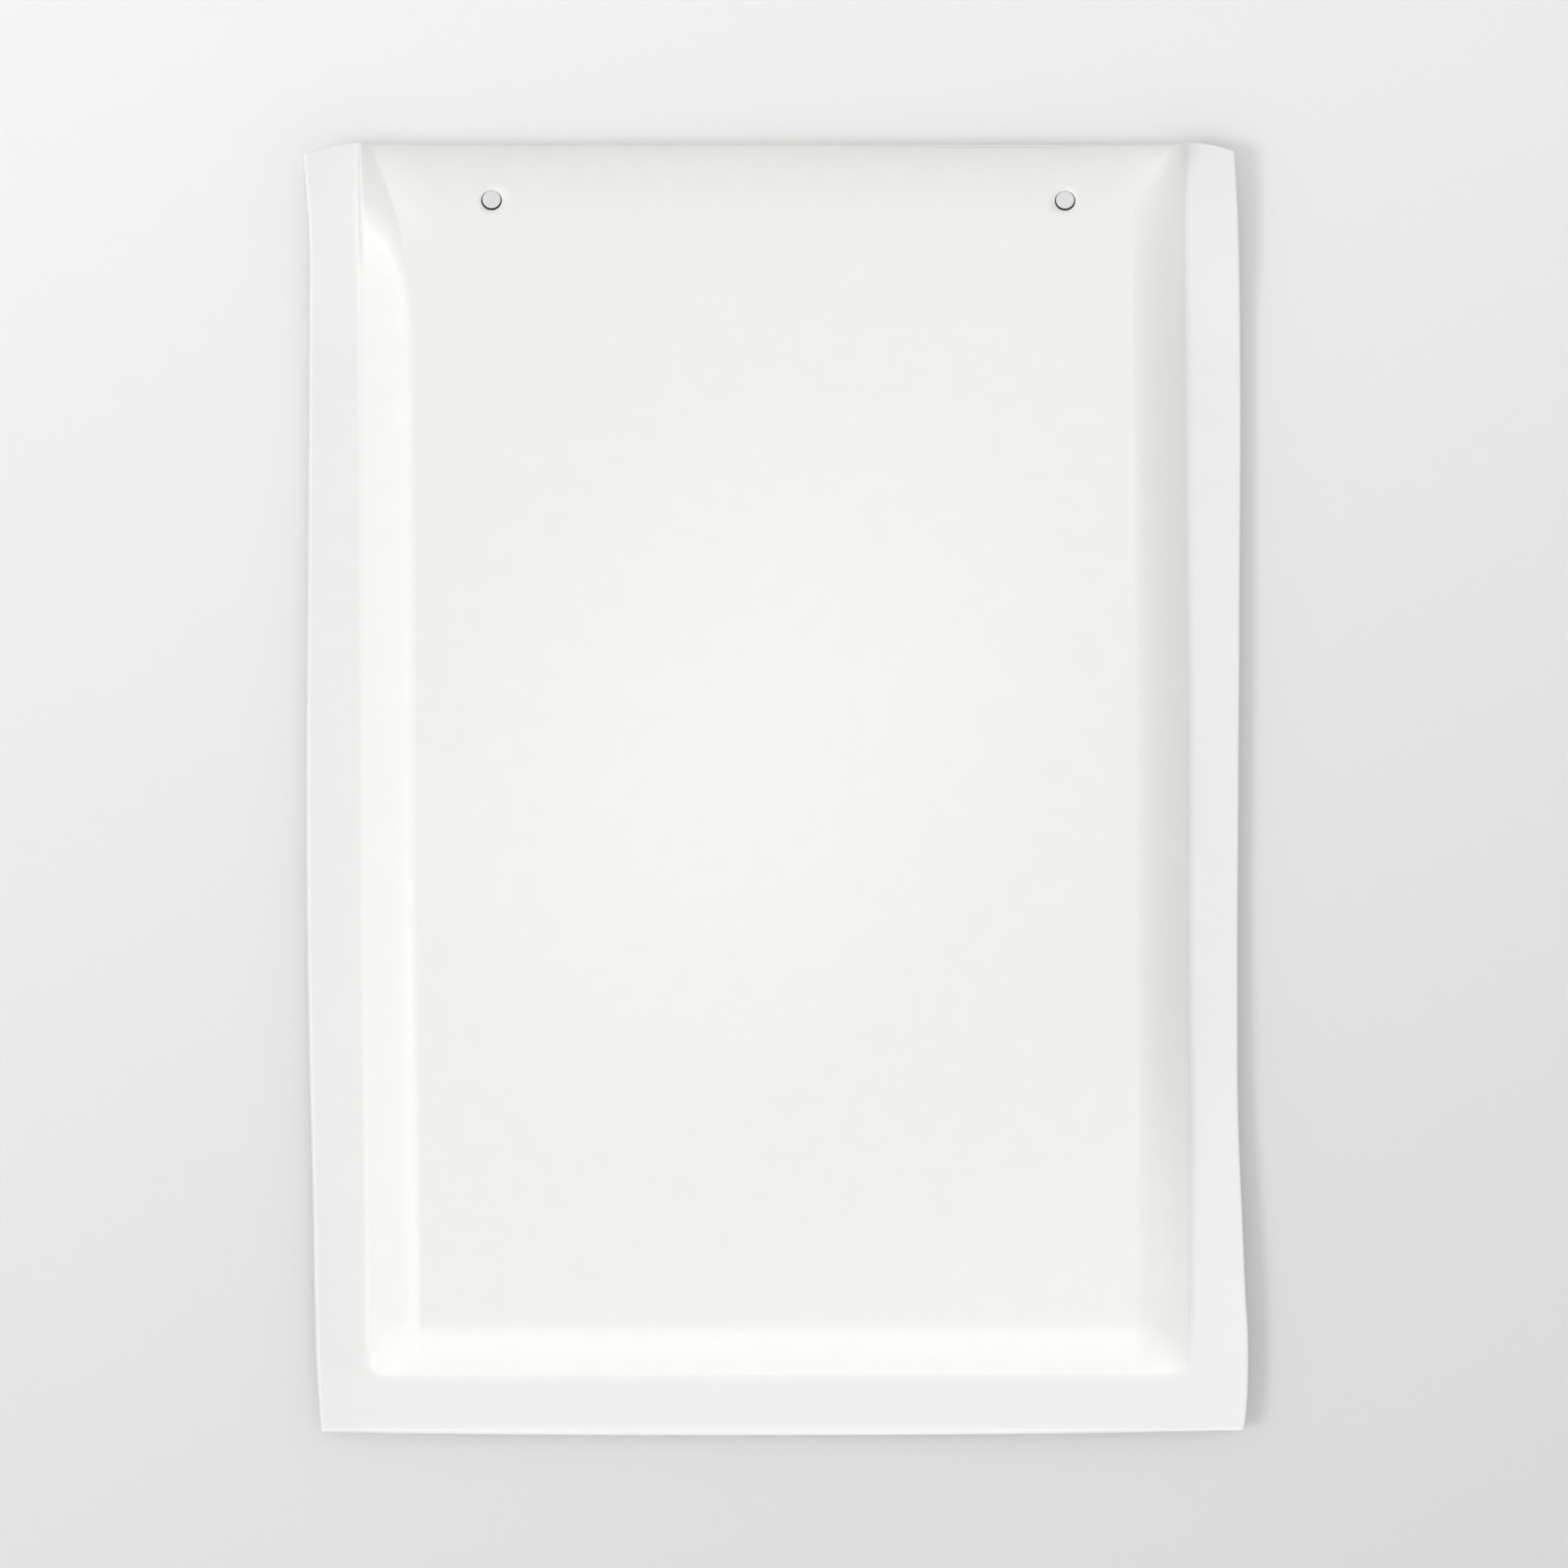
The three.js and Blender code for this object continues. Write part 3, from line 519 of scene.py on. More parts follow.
def soft_faces(x, y, up):
    """Outer faces of the front and back paper as photographed: from the flange level to the
    pillow's own level along Y, by the share of the rise."""
    level = flange_level(x, up)
    turned = edge_turn(x, up)
    crown = SEAM_LEVEL + FLANGE_OUTER + PILLOW_RISE * top_share(x, y, up)
    base = SEAM_LEVEL - FLANGE_OUTER - PILLOW_RISE * back_top(y)
    share, back_share = soft_share(x, y, up), pillow_share(x, y)
    front = (level + FLANGE_OUTER - turned) * (1 - share) + crown * share
    back = (level - FLANGE_OUTER - BACK_TURN * turned) * (1 - back_share) + base * back_share
    return front, back


def laid(x, y, z, creased):
    """Points of an inner piece, taken from between the true faces to the same share of the way
    between the photographed ones, and on to the photographed plan."""
    up = plan_y(x, y)
    front, back = true_faces(x, y)
    soft_front, soft_back = soft_faces(x, y, up)
    z = soft_back + (z - back) * (soft_front - soft_back) / (front - back)
    return np.stack([plan_x(x, up, creased), up, z], axis=-1)


def flap_height(y):
    """Outer face of the flap: the lower quarter of the rounded top, and level on the ground from
    there on."""
    return CREASE_LEVEL * (1 - quarter_ellipse((FOLD_Y - y) / in_mm(sizes().roll_depth)))


def hole_places():
    y = FOLD_Y - in_mm(sizes().hole_drop)
    half = in_mm(sizes().hole_spacing) / 2
    return [(-half, y), (half, y)]


def pull_to_holes(x, y):
    """Moves a grid so that the square of cells round each hole's centre becomes the hole's circle,
    and the ring of points inside it the lower edge of the hole's rim. A point on a square ring goes
    to the circle of that ring's size, fading to no move at the holes' reach and more."""
    radius = in_mm(sizes().hole_diameter) / 2
    for cx, cy in hole_places():
        dx, dy = x - cx, y - cy
        ring = np.maximum(np.abs(dx), np.abs(dy))
        reach = np.maximum(np.hypot(dx, dy), NEARLY_NOTHING)
        pull = smooth_step((HOLE_REACH * radius - ring) / ((HOLE_REACH - 1) * radius))
        size = np.where(ring < radius * RIM_RING, radius - RIM_WIDTH, ring)
        scale = 1 + pull * (size / reach - 1)
        x, y = cx + dx * scale, cy + dy * scale
    return x, y


def ring_size(x, y):
    """Size of the square ring round the nearest hole's centre that a place lies on, as a share of
    the hole's radius."""
    radius = in_mm(sizes().hole_diameter) / 2
    rings = [np.maximum(np.abs(x - cx), np.abs(y - cy)) for cx, cy in hole_places()]
    return np.minimum(*rings) / radius


def spaced(start, end, spacing=FLAT_SPACING):
    """Even lines from just after start up to end."""
    count = max(1, round(abs(end - start) / spacing))
    return np.linspace(start, end, count + 1)[1:]


def slope_lines(count=SLOPE_COUNT):
    """Shares across a slope, close together where it is steep: 1 less the cosine of even angles."""
    return 1 - np.cos(np.linspace(0, np.pi / 2, count + 1))


def column_lines(with_flanges):
    """Places of a sheet's columns, mirrored about the middle, with even cells round the holes."""
    width = in_mm(sizes().slope_width)
    radius, half = in_mm(sizes().hole_diameter) / 2, in_mm(sizes().hole_spacing) / 2
    hole = np.linspace(half - radius, half + radius, 2 * HOLE_CELLS + 1)
    slope = SEAM_X - width * slope_lines()[::-1]
    flat = SEAM_X - width
    crease = [flat + place for place in FLAT_EDGE_LINES]
    parts = [spaced(0, hole[0]), hole[1:], spaced(hole[-1], SHOULDER_X, FINE_SPACING),
             spaced(SHOULDER_X, flat - EDGE_SPACING, EDGE_SPACING), crease,
             slope[slope > flat + FLAT_EDGE_END]]
    if with_flanges:
        parts.append(SEAM_X + SIDE_FLANGE * FLANGE_LINES[1:])
    right = np.concatenate(parts)
    return np.concatenate([-right[::-1], [0.0], right])


def bottom_lines():
    """Rows of the bottom flange and slope, from the trimmed edge in."""
    flange = SEAM_Y - BOTTOM_FLANGE * FLANGE_LINES[::-1]
    return np.concatenate([flange, SEAM_Y + in_mm(sizes().slope_width) * slope_lines()[1:]])


def hole_rows():
    y, radius = hole_places()[0][1], in_mm(sizes().hole_diameter) / 2
    return np.linspace(y - radius, y + radius, 2 * HOLE_CELLS + 1)


def roll_lines():
    """Rows of the rounded top from the flat to the fold, with even cells round the holes."""
    depth, hole = in_mm(sizes().roll_depth), hole_rows()
    start = math.acos(1 - (FOLD_Y - hole[-1]) / depth)
    upper = FOLD_Y - depth * (1 - np.cos(np.linspace(start, 0, TOP_COUNT)))
    return np.concatenate([spaced(FOLD_Y - depth, hole[0], EDGE_SPACING), hole[1:], upper[1:]])


def grid_faces(rows, columns, kept=None):
    """Four-cornered faces between rows and columns of points, for all cells or for those kept."""
    index = np.arange(rows * columns).reshape(rows, columns)
    corners = np.stack([index[:-1, :-1], index[:-1, 1:], index[1:, 1:], index[1:, :-1]], axis=-1)
    faces = corners.reshape(-1, 4)
    return faces if kept is None else faces[kept.reshape(-1)]


def ring_faces(shape):
    """Four-cornered faces between neighbouring closed rings, for a shape of rings by points."""
    index = np.arange(shape[0] * shape[1]).reshape(shape)
    around = np.roll(index, -1, axis=1)
    return np.stack([index[:-1], index[1:], around[1:], around[:-1]], axis=-1).reshape(-1, 4)


def cell_middles(x, y):
    return (x[:-1, :-1] + x[1:, 1:]) / 2, (y[:-1, :-1] + y[1:, 1:]) / 2


def mesh_object(name, points, faces, smooth=True):
    """A mesh object at the origin from points in millimetres, in any array, and faces of any size."""
    points = np.asarray(points).reshape(-1, 3)
    mesh = bpy.data.meshes.new(name)
    mesh.from_pydata((points * MM).tolist(), [], [list(map(int, face)) for face in faces])
    mesh.validate()
    mesh.polygons.foreach_set("use_smooth", np.full(len(mesh.polygons), smooth))
    mesh.update()
    piece = bpy.data.objects.new(name, mesh)
    bpy.context.scene.collection.objects.link(piece)
    return piece


def joined(*parts):
    """Points and faces of several parts as one list of each."""
    offsets = np.cumsum([0] + [len(points) for points, _ in parts])
    faces = [face for (_, part), offset in zip(parts, offsets) for face in (part + offset).tolist()]
    return np.concatenate([points for points, _ in parts]), faces


def mend(piece, *repairs):
    """Runs repairs on a piece's mesh, and deletes the points that no face uses."""
    made = bmesh.new()
    made.from_mesh(piece.data)
    for repair in repairs:
        repair(made)
    loose = [point for point in made.verts if not point.link_faces]
    bmesh.ops.delete(made, geom=loose, context="VERTS")
    made.to_mesh(piece.data)
    made.free()
    piece.data.update()


def weld(made):
    """Joins points that lie on each other."""
    bmesh.ops.remove_doubles(made, verts=made.verts, dist=WELD_DISTANCE)


def drop_slivers(made):
    """Deletes faces without area."""
    thin = [face for face in made.faces if face.calc_area() < SLIVER_AREA]
    bmesh.ops.delete(made, geom=thin, context="FACES")


def face_out(made):
    """Turns a closed piece's faces outwards."""
    bmesh.ops.recalc_face_normals(made, faces=made.faces)


def thicken(piece, thickness):
    """Gives a sheet its thickness behind its outer face."""
    wall = piece.modifiers.new("thickness", "SOLIDIFY")
    wall.thickness = thickness * MM
    wall.offset = -1.0
    wall.use_rim = True
    wall.use_even_offset = False
    return piece


def finished(piece, body, slot, material, *nodes):
    """Puts a piece on its body, gives it its finish and hides the solids that it stands for."""
    piece.data.materials.append(material)
    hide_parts(*nodes)
    if body:
        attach(piece, body)
    return piece


class Nodes:
    """Short way to build a material's nodes."""

    def __init__(self, name):
        self.material = bpy.data.materials.new(FINISH_PREFIX + name)
        self.material.use_nodes = True
        self.tree = self.material.node_tree
        self.shader = self.tree.nodes["Principled BSDF"]
        self.place = self.tree.nodes.new("ShaderNodeTexCoord").outputs["Object"]

    def add(self, kind, links=None, **values):
        node = self.tree.nodes.new("ShaderNode" + kind)
        for key, value in values.items():
            if key in node.inputs:
                node.inputs[key].default_value = value
            else:
                setattr(node, key, value)
        for key, source in (links or {}).items():
            self.tree.links.new(source, node.inputs[key])
        return node

    def noise(self, scale, detail=3.0, roughness=0.5, place=None):
        links = {"Vector": place or self.place}
        node = self.add("TexNoise", links, Scale=scale, Detail=detail, Roughness=roughness)
        return node.outputs["Fac"]

    def shades(self, factor, *stops):
        """Colours along a factor, as (place, colour) stops."""
        ramp = self.add("ValToRGB", {"Fac": factor})
        while len(ramp.color_ramp.elements) < len(stops):
            ramp.color_ramp.elements.new(0.5)
        for element, (place, colour) in zip(ramp.color_ramp.elements, stops):
            element.position = place
            element.color = (*colour, 1)
        return ramp.outputs["Color"]

    def mottled(self, factor, colour, darkest):
        """A colour that goes down to a share of itself where the factor is low."""
        return self.shades(factor, (0.3, scaled(colour, darkest)), (0.7, colour))

    def ramp(self, value, start, end):
        """0 up to one value and 1 from another on, smoothly between them."""
        node = self.add("MapRange", {"Value": value}, interpolation_type="SMOOTHSTEP")
        node.inputs["From Min"].default_value = start
        node.inputs["From Max"].default_value = end
        return node.outputs["Result"]

    def mixed(self, factor, first, second):
        """One colour where the factor is 0 and the other where it is 1."""
        node = self.add("Mix", data_type="RGBA")
        for place, source in ((0, factor), (6, first), (7, second)):
            self.tree.links.new(source, node.inputs[place])
        return node.outputs[2]

    def bump(self, height, distance, strength=1.0, under=None):
        links = {"Height": height}
        if under:
            links["Normal"] = under
        return self.add("Bump", links, Distance=distance, Strength=strength).outputs["Normal"]

    def link(self, source, socket):
        self.tree.links.new(source, self.shader.inputs[socket])

    def set(self, **values):
        for key, value in values.items():
            self.shader.inputs[key.replace("_", " ")].default_value = value


def scaled(colour, share):
    return tuple(min(1.0, channel * share) for channel in colour)


def paper_material():
    """White kraft paper: cloudy formation, fine fibres, and a half dull calendered face. On the welded
    flanges it is painted a little greyer: painted shade that keeps them darker than the pillow."""
    made = Nodes("white_paper")
    parted = made.add("SeparateXYZ", {"Vector": made.place}).outputs
    across = made.add("Math", {0: parted["X"]}, operation="ABSOLUTE").outputs[0]
    side = made.ramp(across, (SEAM_X - FLANGE_SHADE_SIDE) * MM, (SEAM_X + FLANGE_SHADE_SIDE) * MM)
    bottom = made.ramp(parted["Y"], (SEAM_Y + FLANGE_SHADE_BOTTOM) * MM, (SEAM_Y - FLANGE_SHADE_BOTTOM) * MM)
    # The flanges' mask: there the paper is painted greyer, as shade
    flange = made.add("Math", {0: side, 1: bottom}, operation="MAXIMUM").outputs[0]
    clouds = made.noise(160, 4)
    pillow = made.mottled(clouds, colours().paper, 0.985)
    shaded_flange = made.mottled(clouds, colours().flange, 0.985)
    made.link(made.mixed(flange, pillow, shaded_flange), "Base Color")
    fibres = made.noise(2600, 2)
    felt = made.noise(700, 4)
    normal = made.bump(felt, 0.00002, 0.5)
    made.link(made.bump(fibres, 0.00001, 0.5, normal), "Normal")
    made.set(Roughness=0.42, IOR=1.5)
    return made.material


def film_material(name, colour, alpha, roughness):
    """Clear polyethylene: faint streaks from the rollers, and fine wrinkles."""
    made = Nodes(name)
    stretched = made.add("Mapping", {"Vector": made.place}, Scale=(1, 9, 1)).outputs["Vector"]
    streaks = made.noise(90, 3, place=stretched)
    made.link(made.mottled(streaks, colour, 0.96), "Base Color")
    made.link(made.bump(made.noise(420, 3), 0.00006, 0.5), "Normal")
    made.set(Roughness=roughness, IOR=1.5, Alpha=alpha)
    return made.material


def adhesive_material():
    """Hot melt under its strip: glassy, slightly yellow, with the coater's lines along it."""
    made = Nodes("hot_melt")
    drawn = made.add("Mapping", {"Vector": made.place}, Scale=(0.05, 1, 1)).outputs["Vector"]
    lines = made.noise(260, 2, place=drawn)
    made.link(made.mottled(lines, colours().adhesive, 0.95), "Base Color")
    made.link(made.bump(lines, 0.00005, 0.6), "Normal")
    made.set(Roughness=0.22, IOR=1.49, Alpha=0.9)
    return made.material


def release_material():
    """Siliconed glassine: smooth, faintly mottled and half shiny."""
    made = Nodes("release_paper")
    made.link(made.mottled(made.noise(220, 4), colours().release, 0.975), "Base Color")
    made.link(made.bump(made.noise(1800, 2), 0.000008, 0.4), "Normal")
    made.set(Roughness=0.38, IOR=1.45)
    return made.material


def ground_material():
    """Plain ground whose colour darkens evenly from the upper left of the view to the lower right, with the
    middle of its two colours under the envelope: painted light falloff across the ground."""
    made = Nodes("ground")
    turned = made.add("Mapping", {"Vector": made.place}, Location=(0.5, 0.0, 0.0),
                      Rotation=(0, 0, math.radians(GROUND_TURN)), Scale=(GROUND_RATE,) * 3)
    links = {"Vector": turned.outputs["Vector"]}
    along = made.add("TexGradient", links, gradient_type="LINEAR").outputs["Fac"]
    shade = made.shades(along, (0.0, colours().ground_shaded_end), (1.0, colours().ground_lit_end))
    made.link(shade, "Base Color")
    made.set(Roughness=1.0)
    made.set(**{"Specular IOR Level": 0.0})
    return made.material


def front_part():
    """Front paper as a grid: columns across, rows from the trimmed bottom edge to the fold."""
    columns = column_lines(True)
    width, depth = in_mm(sizes().slope_width), in_mm(sizes().roll_depth)
    rows = np.concatenate([bottom_lines(), spaced(SEAM_Y + width, FOLD_Y - depth), roll_lines()])
    x, y = np.meshgrid(columns, rows)
    rim = (HOLE_CELLS - 1) / HOLE_CELLS
    kept = ring_size(*cell_middles(x, y)) > rim
    lowered = RIM_DROP * (ring_size(x, y) < RIM_RING)
    x, y = pull_to_holes(x, y)
    up = plan_y(x, y)
    points = np.stack([plan_x(x, up, True), up, soft_faces(x, y, up)[0] - lowered], axis=-1)
    return points, grid_faces(len(rows), len(columns), kept)


def flap_part(crease):
    """Closing flap as a grid that starts on the front's crease row and runs back under the envelope.
    Its half width tapers evenly, and its free corners are quarter circles."""
    columns = column_lines(False)
    upper = FOLD_Y - in_mm(sizes().roll_depth) * slope_lines(FLAP_ROLL_COUNT)
    level = spaced(upper[-1], FLAP_END_Y + FLAP_CORNER, FLAP_SPACING)
    corner = FLAP_END_Y + FLAP_CORNER * (1 - np.sin(np.linspace(0, np.pi / 2, FLAP_CORNER_COUNT)))
    rows = np.concatenate([upper, level, corner[1:]])
    x, y = np.meshgrid(columns, rows)
    into_corner = np.clip((FLAP_END_Y + FLAP_CORNER - y) / FLAP_CORNER, 0, 1)
    half = FLAP_HALF_WIDTH - FLAP_TAPER * (FOLD_Y - y) / (FOLD_Y - FLAP_END_Y)
    half = half - FLAP_CORNER * (1 - np.sqrt(1 - into_corner ** 2))
    settled = smooth_step((FOLD_Y - y) / FLAP_SETTLING)
    width = crease[:, 0] + (x / SEAM_X * half - crease[:, 0]) * settled
    points = np.stack([width, y, flap_height(y)], axis=-1)
    points[0] = crease
    return points, grid_faces(len(rows), len(columns))


class MAILER_OT_front_sheet(Operator):
    """Front paper as far as the crease, and the closing flap that goes on from the crease row as a sheet of
    its own
    """

    bl_idname = "mailer.front_sheet"
    bl_label = "Front sheet and flap"

    def execute(self, context):
        front, front_faces = front_part()
        sheet = mesh_object("front_sheet", front, front_faces)
        mend(sheet, weld)
        thicken(sheet, PAPER)
        finished(sheet, "envelope", "white_paper", material("white_paper"), "front_panel")
        inner = np.flatnonzero(np.abs(column_lines(True)) <= SEAM_X + NEARLY_NOTHING)
        flap, flap_faces = flap_part(front[-1, inner])
        tongue = mesh_object("flap_sheet", flap, flap_faces)
        mend(tongue, weld)
        thicken(tongue, PAPER)
        finished(tongue, None, "white_paper", material("white_paper"), "closing_flap")
        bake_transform(tongue)
        return {"FINISHED"}


class MAILER_OT_back_sheet(Operator):
    """Back paper, stepped up over the folded flap and rolled up to the mouth"""

    bl_idname = "mailer.back_sheet"
    bl_label = "Back sheet"

    def execute(self, context):
        columns = column_lines(True)
        width, depth = in_mm(sizes().slope_width), in_mm(sizes().roll_depth)
        rows = np.concatenate([
            bottom_lines(), spaced(SEAM_Y + width, STEP_FROM_Y),
            spaced(STEP_FROM_Y, STEP_TO_Y, STEP_SPACING), spaced(STEP_TO_Y, FOLD_Y - depth),
            spaced(FOLD_Y - depth, MOUTH_Y, FINE_SPACING)])
        x, y = np.meshgrid(columns, rows)
        up = plan_y(x, y)
        points = np.stack([plan_x(x, up, False), up, soft_faces(x, y, up)[1]], axis=-1)
        piece = mesh_object("back_sheet", points, grid_faces(len(rows), len(columns))[:, ::-1])
        thicken(piece, PAPER)
        finished(piece, "envelope", "white_paper", material("white_paper"), "back_panel")
        return {"FINISHED"}


def material(name):
    """The named finish, made the first time that it is asked for."""
    makers = {
        "white_paper": [paper_material],
        "bubble_film": [film_material, name, colours().film, 0.9, 0.3],
        "backing_film": [film_material, name, colours().film, 0.45, 0.2],
        "seal_film": [film_material, name, colours().seal, 0.7, 0.4],
        "hot_melt": [adhesive_material],
        "release_paper": [release_material],
        "ground": [ground_material],
    }
    maker, *values = makers[name]
    return bpy.data.materials.get(FINISH_PREFIX + name) or maker(*values)


def liner_clip(x, y, top):
    """Holds points inside a liner's outline, square at the top and rounded in both bottom corners."""
    low, high = LINER_BOX
    x, y = np.clip(x, low[0], high[0]), np.clip(y, low[1], top)
    cx, cy = high[0] - LINER_CORNER, low[1] + LINER_CORNER
    out_x, out_y = np.abs(x) - cx, cy - y
    reach = np.hypot(out_x, out_y)
    outside = (out_x > 0) & (out_y > 0) & (reach > LINER_CORNER)
    pull = np.where(outside, LINER_CORNER / np.maximum(reach, NEARLY_NOTHING), 1.0)
    x = np.where(outside, np.sign(x) * (cx + out_x * pull), x)
    y = np.where(outside, cy - out_y * pull, y)
    return x, y


def cell_field(top):
    """Air cells in staggered rows: each a hexagonal rim, a round foot and rings up to its crown.
    Gives each point's plan place, its share of the cell's height, the faces and the crowns."""
    pitch, foot = in_mm(sizes().bubble_pitch), in_mm(sizes().bubble_width) / 2
    row_pitch = pitch * math.sqrt(3) / 2
    low, high = LINER_BOX
    row = np.arange(-CELL_ROWS, CELL_ROWS + 1)
    column = np.arange(-CELL_COLUMNS, CELL_COLUMNS + 1)
    cx, cy = np.meshgrid(column * pitch, row * row_pitch + (low[1] + high[1]) / 2 + row_pitch / 2)
    cx = cx + (np.arange(len(row))[:, None] % 2) * pitch / 2
    cx, cy = cx.ravel(), cy.ravel()
    near = (np.abs(cx) < high[0] + pitch) & (cy > low[1] - pitch) & (cy < top + pitch)
    cx, cy = cx[near], cy[near]
    angle = np.arange(CELL_SIDES) * 2 * np.pi / CELL_SIDES + np.pi / 6
    rim = pitch / 2 / np.cos((angle % (np.pi / 3)) - np.pi / 6)
    rings = [(rim, 0.0)] + [(foot * size, share) for size, share in CELL_RINGS]
    x = np.stack([cx[:, None] + size * np.cos(angle) for size, _ in rings], axis=1)
    y = np.stack([cy[:, None] + size * np.sin(angle) for size, _ in rings], axis=1)
    rise = np.broadcast_to(np.array([share for _, share in rings])[None, :, None], x.shape)
    inside = np.abs(cx) + foot < high[0] - CELL_MARGIN
    whole = inside & (cy - foot > low[1] + CELL_MARGIN) & (cy + foot < top - HEM_MARGIN)
    index = np.arange(x.size).reshape(x.shape)
    around = np.roll(index, -1, axis=2)
    quads = np.stack([index[:, :-1], around[:, :-1], around[:, 1:], index[:, 1:]], axis=-1)
    crowns = index[:, -1]
    return x, y, rise * whole[:, None, None], quads.reshape(-1, 4), crowns


def film_piece(name, level, height, front):
    """One film of a liner: its cells and the hem at the mouth. level is the film's own height and
    height a cell's height from it, with its sign. No cell comes nearer the paper than a gap. The
    formed front film's hem follows the paper at a depth, and bulges up in each punched hole."""
    top = hole_rows()[0] - HEM_START
    x, y, rise, quads, crowns = cell_field(top)
    x, y = liner_clip(x, y, top)
    true_front, true_back = true_faces(x, y)
    z = np.clip(level + height * rise, true_back + FILM_GAP, true_front - FILM_GAP)
    cells = laid(x, y, z, front).reshape(-1, 3)
    hem_columns = np.unique(np.clip(column_lines(False), LINER_BOX[0][0], LINER_BOX[1][0]))
    lip = top + HEM_LIP
    hem_rows = np.concatenate([[top, lip], spaced(lip, LINER_TOP, HEM_SPACING)])
    x, y = np.meshgrid(hem_columns, hem_rows)
    z = np.full_like(x, level)
    formed_front = front and height == BUBBLE_HEIGHT
    if formed_front:
        z[1:] = np.maximum(true_faces(x[1:], y[1:])[0] - HEM_DEPTH, level + HEM_LEAST)
    hem = laid(x, y, z, front).reshape(-1, 3)
    hem_quads = grid_faces(len(hem_rows), len(hem_columns))
    bulges = [hole_bulge(*place) for place in hole_places()] if formed_front else []
    points, faces = joined((cells, quads), (hem, hem_quads), *bulges)
    faces += crowns.tolist()
    piece = mesh_object(name, points, faces if height > 0 else [face[::-1] for face in faces])
    mend(piece, weld, drop_slivers)
    return thicken(piece, FILM)


def hole_bulge(cx, cy):
    """The film that the air behind it bulges up in one hole: rings about a middle that sits a little
    towards the fold, each at its own depth, and the last one down on the hem."""
    size, depth = np.array(BULGE).T
    angle = np.linspace(0, 2 * np.pi, BULGE_SIDES, endpoint=False)
    x = cx + size[:, None] * np.cos(angle)
    y = cy + BULGE_SHIFT + size[:, None] * np.sin(angle)
    z = true_faces(x, y)[0] - depth[:, None]
    return laid(x, y, z, True).reshape(-1, 3), ring_faces(x.shape)


class MAILER_OT_liners(Operator):
    """Bubble film of both sides: formed webs against the paper and backing films facing the pocket"""

    bl_idname = "mailer.liners"
    bl_label = "Bubble film"

    def execute(self, context):
        formed, smooth = "bubble_film", "backing_film"
        front_level, back_level = LINER_BOX[0][2] + FILM, BACK_WEB_BOX[1][2] - FILM
        front_smooth = FRONT_BACKING_BOX[1][2] - SMOOTH_FILM
        back_smooth = BACK_BACKING_BOX[0][2] + SMOOTH_FILM
        films = [
            ("front_bubble_film", front_level, BUBBLE_HEIGHT, True, formed, "front_bubble_web"),
            ("back_bubble_film", back_level, -BUBBLE_HEIGHT, False, formed, "back_bubble_web"),
            ("front_smooth_film", front_smooth, -SMOOTH_FILM, True, smooth, "front_backing_film"),
            ("back_smooth_film", back_smooth, SMOOTH_FILM, False, smooth, "back_backing_film"),
        ]
        for name, level, height, front, finish, node in films:
            piece = film_piece(name, level, height, front)
            finished(piece, "envelope", finish, material(finish), node)
        return {"FINISHED"}


class MAILER_OT_seals(Operator):
    """Crushed film in the three flanges, parting into two films that reach the liners"""

    bl_idname = "mailer.seals"
    bl_label = "Heat seals"

    def execute(self, context):
        welds = [("left_weld", "left_side_seal"), ("right_weld", "right_side_seal"),
                 ("bottom_weld", "bottom_seal")]
        for name, node in welds:
            piece = seal_piece(name, node)
            finished(piece, "envelope", "seal_film", material("seal_film"), node)
        return {"FINISHED"}


def seal_piece(name, node):
    """A weld's section carried along its seam. Across it, from the trimmed side in: a flat band with
    crimped faces, then two films that part in a smooth curve. The section is one closed loop, and
    towards the weld's ends the films part less and less."""
    low, high = node_box(node)
    sideways = node == "bottom_seal"
    axis, half = (0 if sideways else 1), FILM / 2
    along = np.linspace(low[axis], high[axis], SEAL_COUNT)[:, None]
    fork = SEAM_X - in_mm(sizes().slope_width)
    first, last = (-fork, fork) if sideways else (SEAM_Y + in_mm(sizes().slope_width), LINER_TOP)
    started = smooth_step((along - first + FORK_FADE / 4) / FORK_FADE)
    parted = started * smooth_step((last + FORK_FADE / 4 - along) / FORK_FADE)
    band = np.linspace(-SEAL_WIDTH, FORK_START, BAND_COUNT)
    parting = np.linspace(FORK_FIRST, FORK_END, FORK_COUNT)
    opened = smooth_step((parting - FORK_START) / (FORK_END - FORK_START)) ** FORK_POWER
    spread = (high[2] - SEAM_LEVEL - half) * opened * parted
    crimped = half + CRIMP_HEIGHT * np.sin(band * 2 * np.pi / CRIMP_PITCH)
    band_face = np.broadcast_to(crimped, (SEAL_COUNT, BAND_COUNT))
    inner_face = np.maximum(spread - half, FORK_SLIT)[:, ::-1]
    face = np.concatenate([band_face, spread + half, inner_face], axis=1)
    across = np.concatenate([band, parting, parting[::-1]])
    across = np.concatenate([across, [FORK_ROOT], across[::-1]])
    up = np.concatenate([face, np.zeros((SEAL_COUNT, 1)), -face[:, ::-1]], axis=1)
    across, along = np.broadcast_to(across, up.shape), np.broadcast_to(along, up.shape)
    if sideways:
        x, y = along, SEAM_Y + across
    else:
        x, y = math.copysign(1, high[0]) * (SEAM_X - across), along
    points = laid(x, y, SEAM_LEVEL + up, False)
    rings, loop = up.shape
    ends = [list(range(loop))[::-1], list(range((rings - 1) * loop, rings * loop))]
    piece = mesh_object(name, points, ring_faces(up.shape)[:, ::-1].tolist() + ends)
    mend(piece, face_out)
    return piece


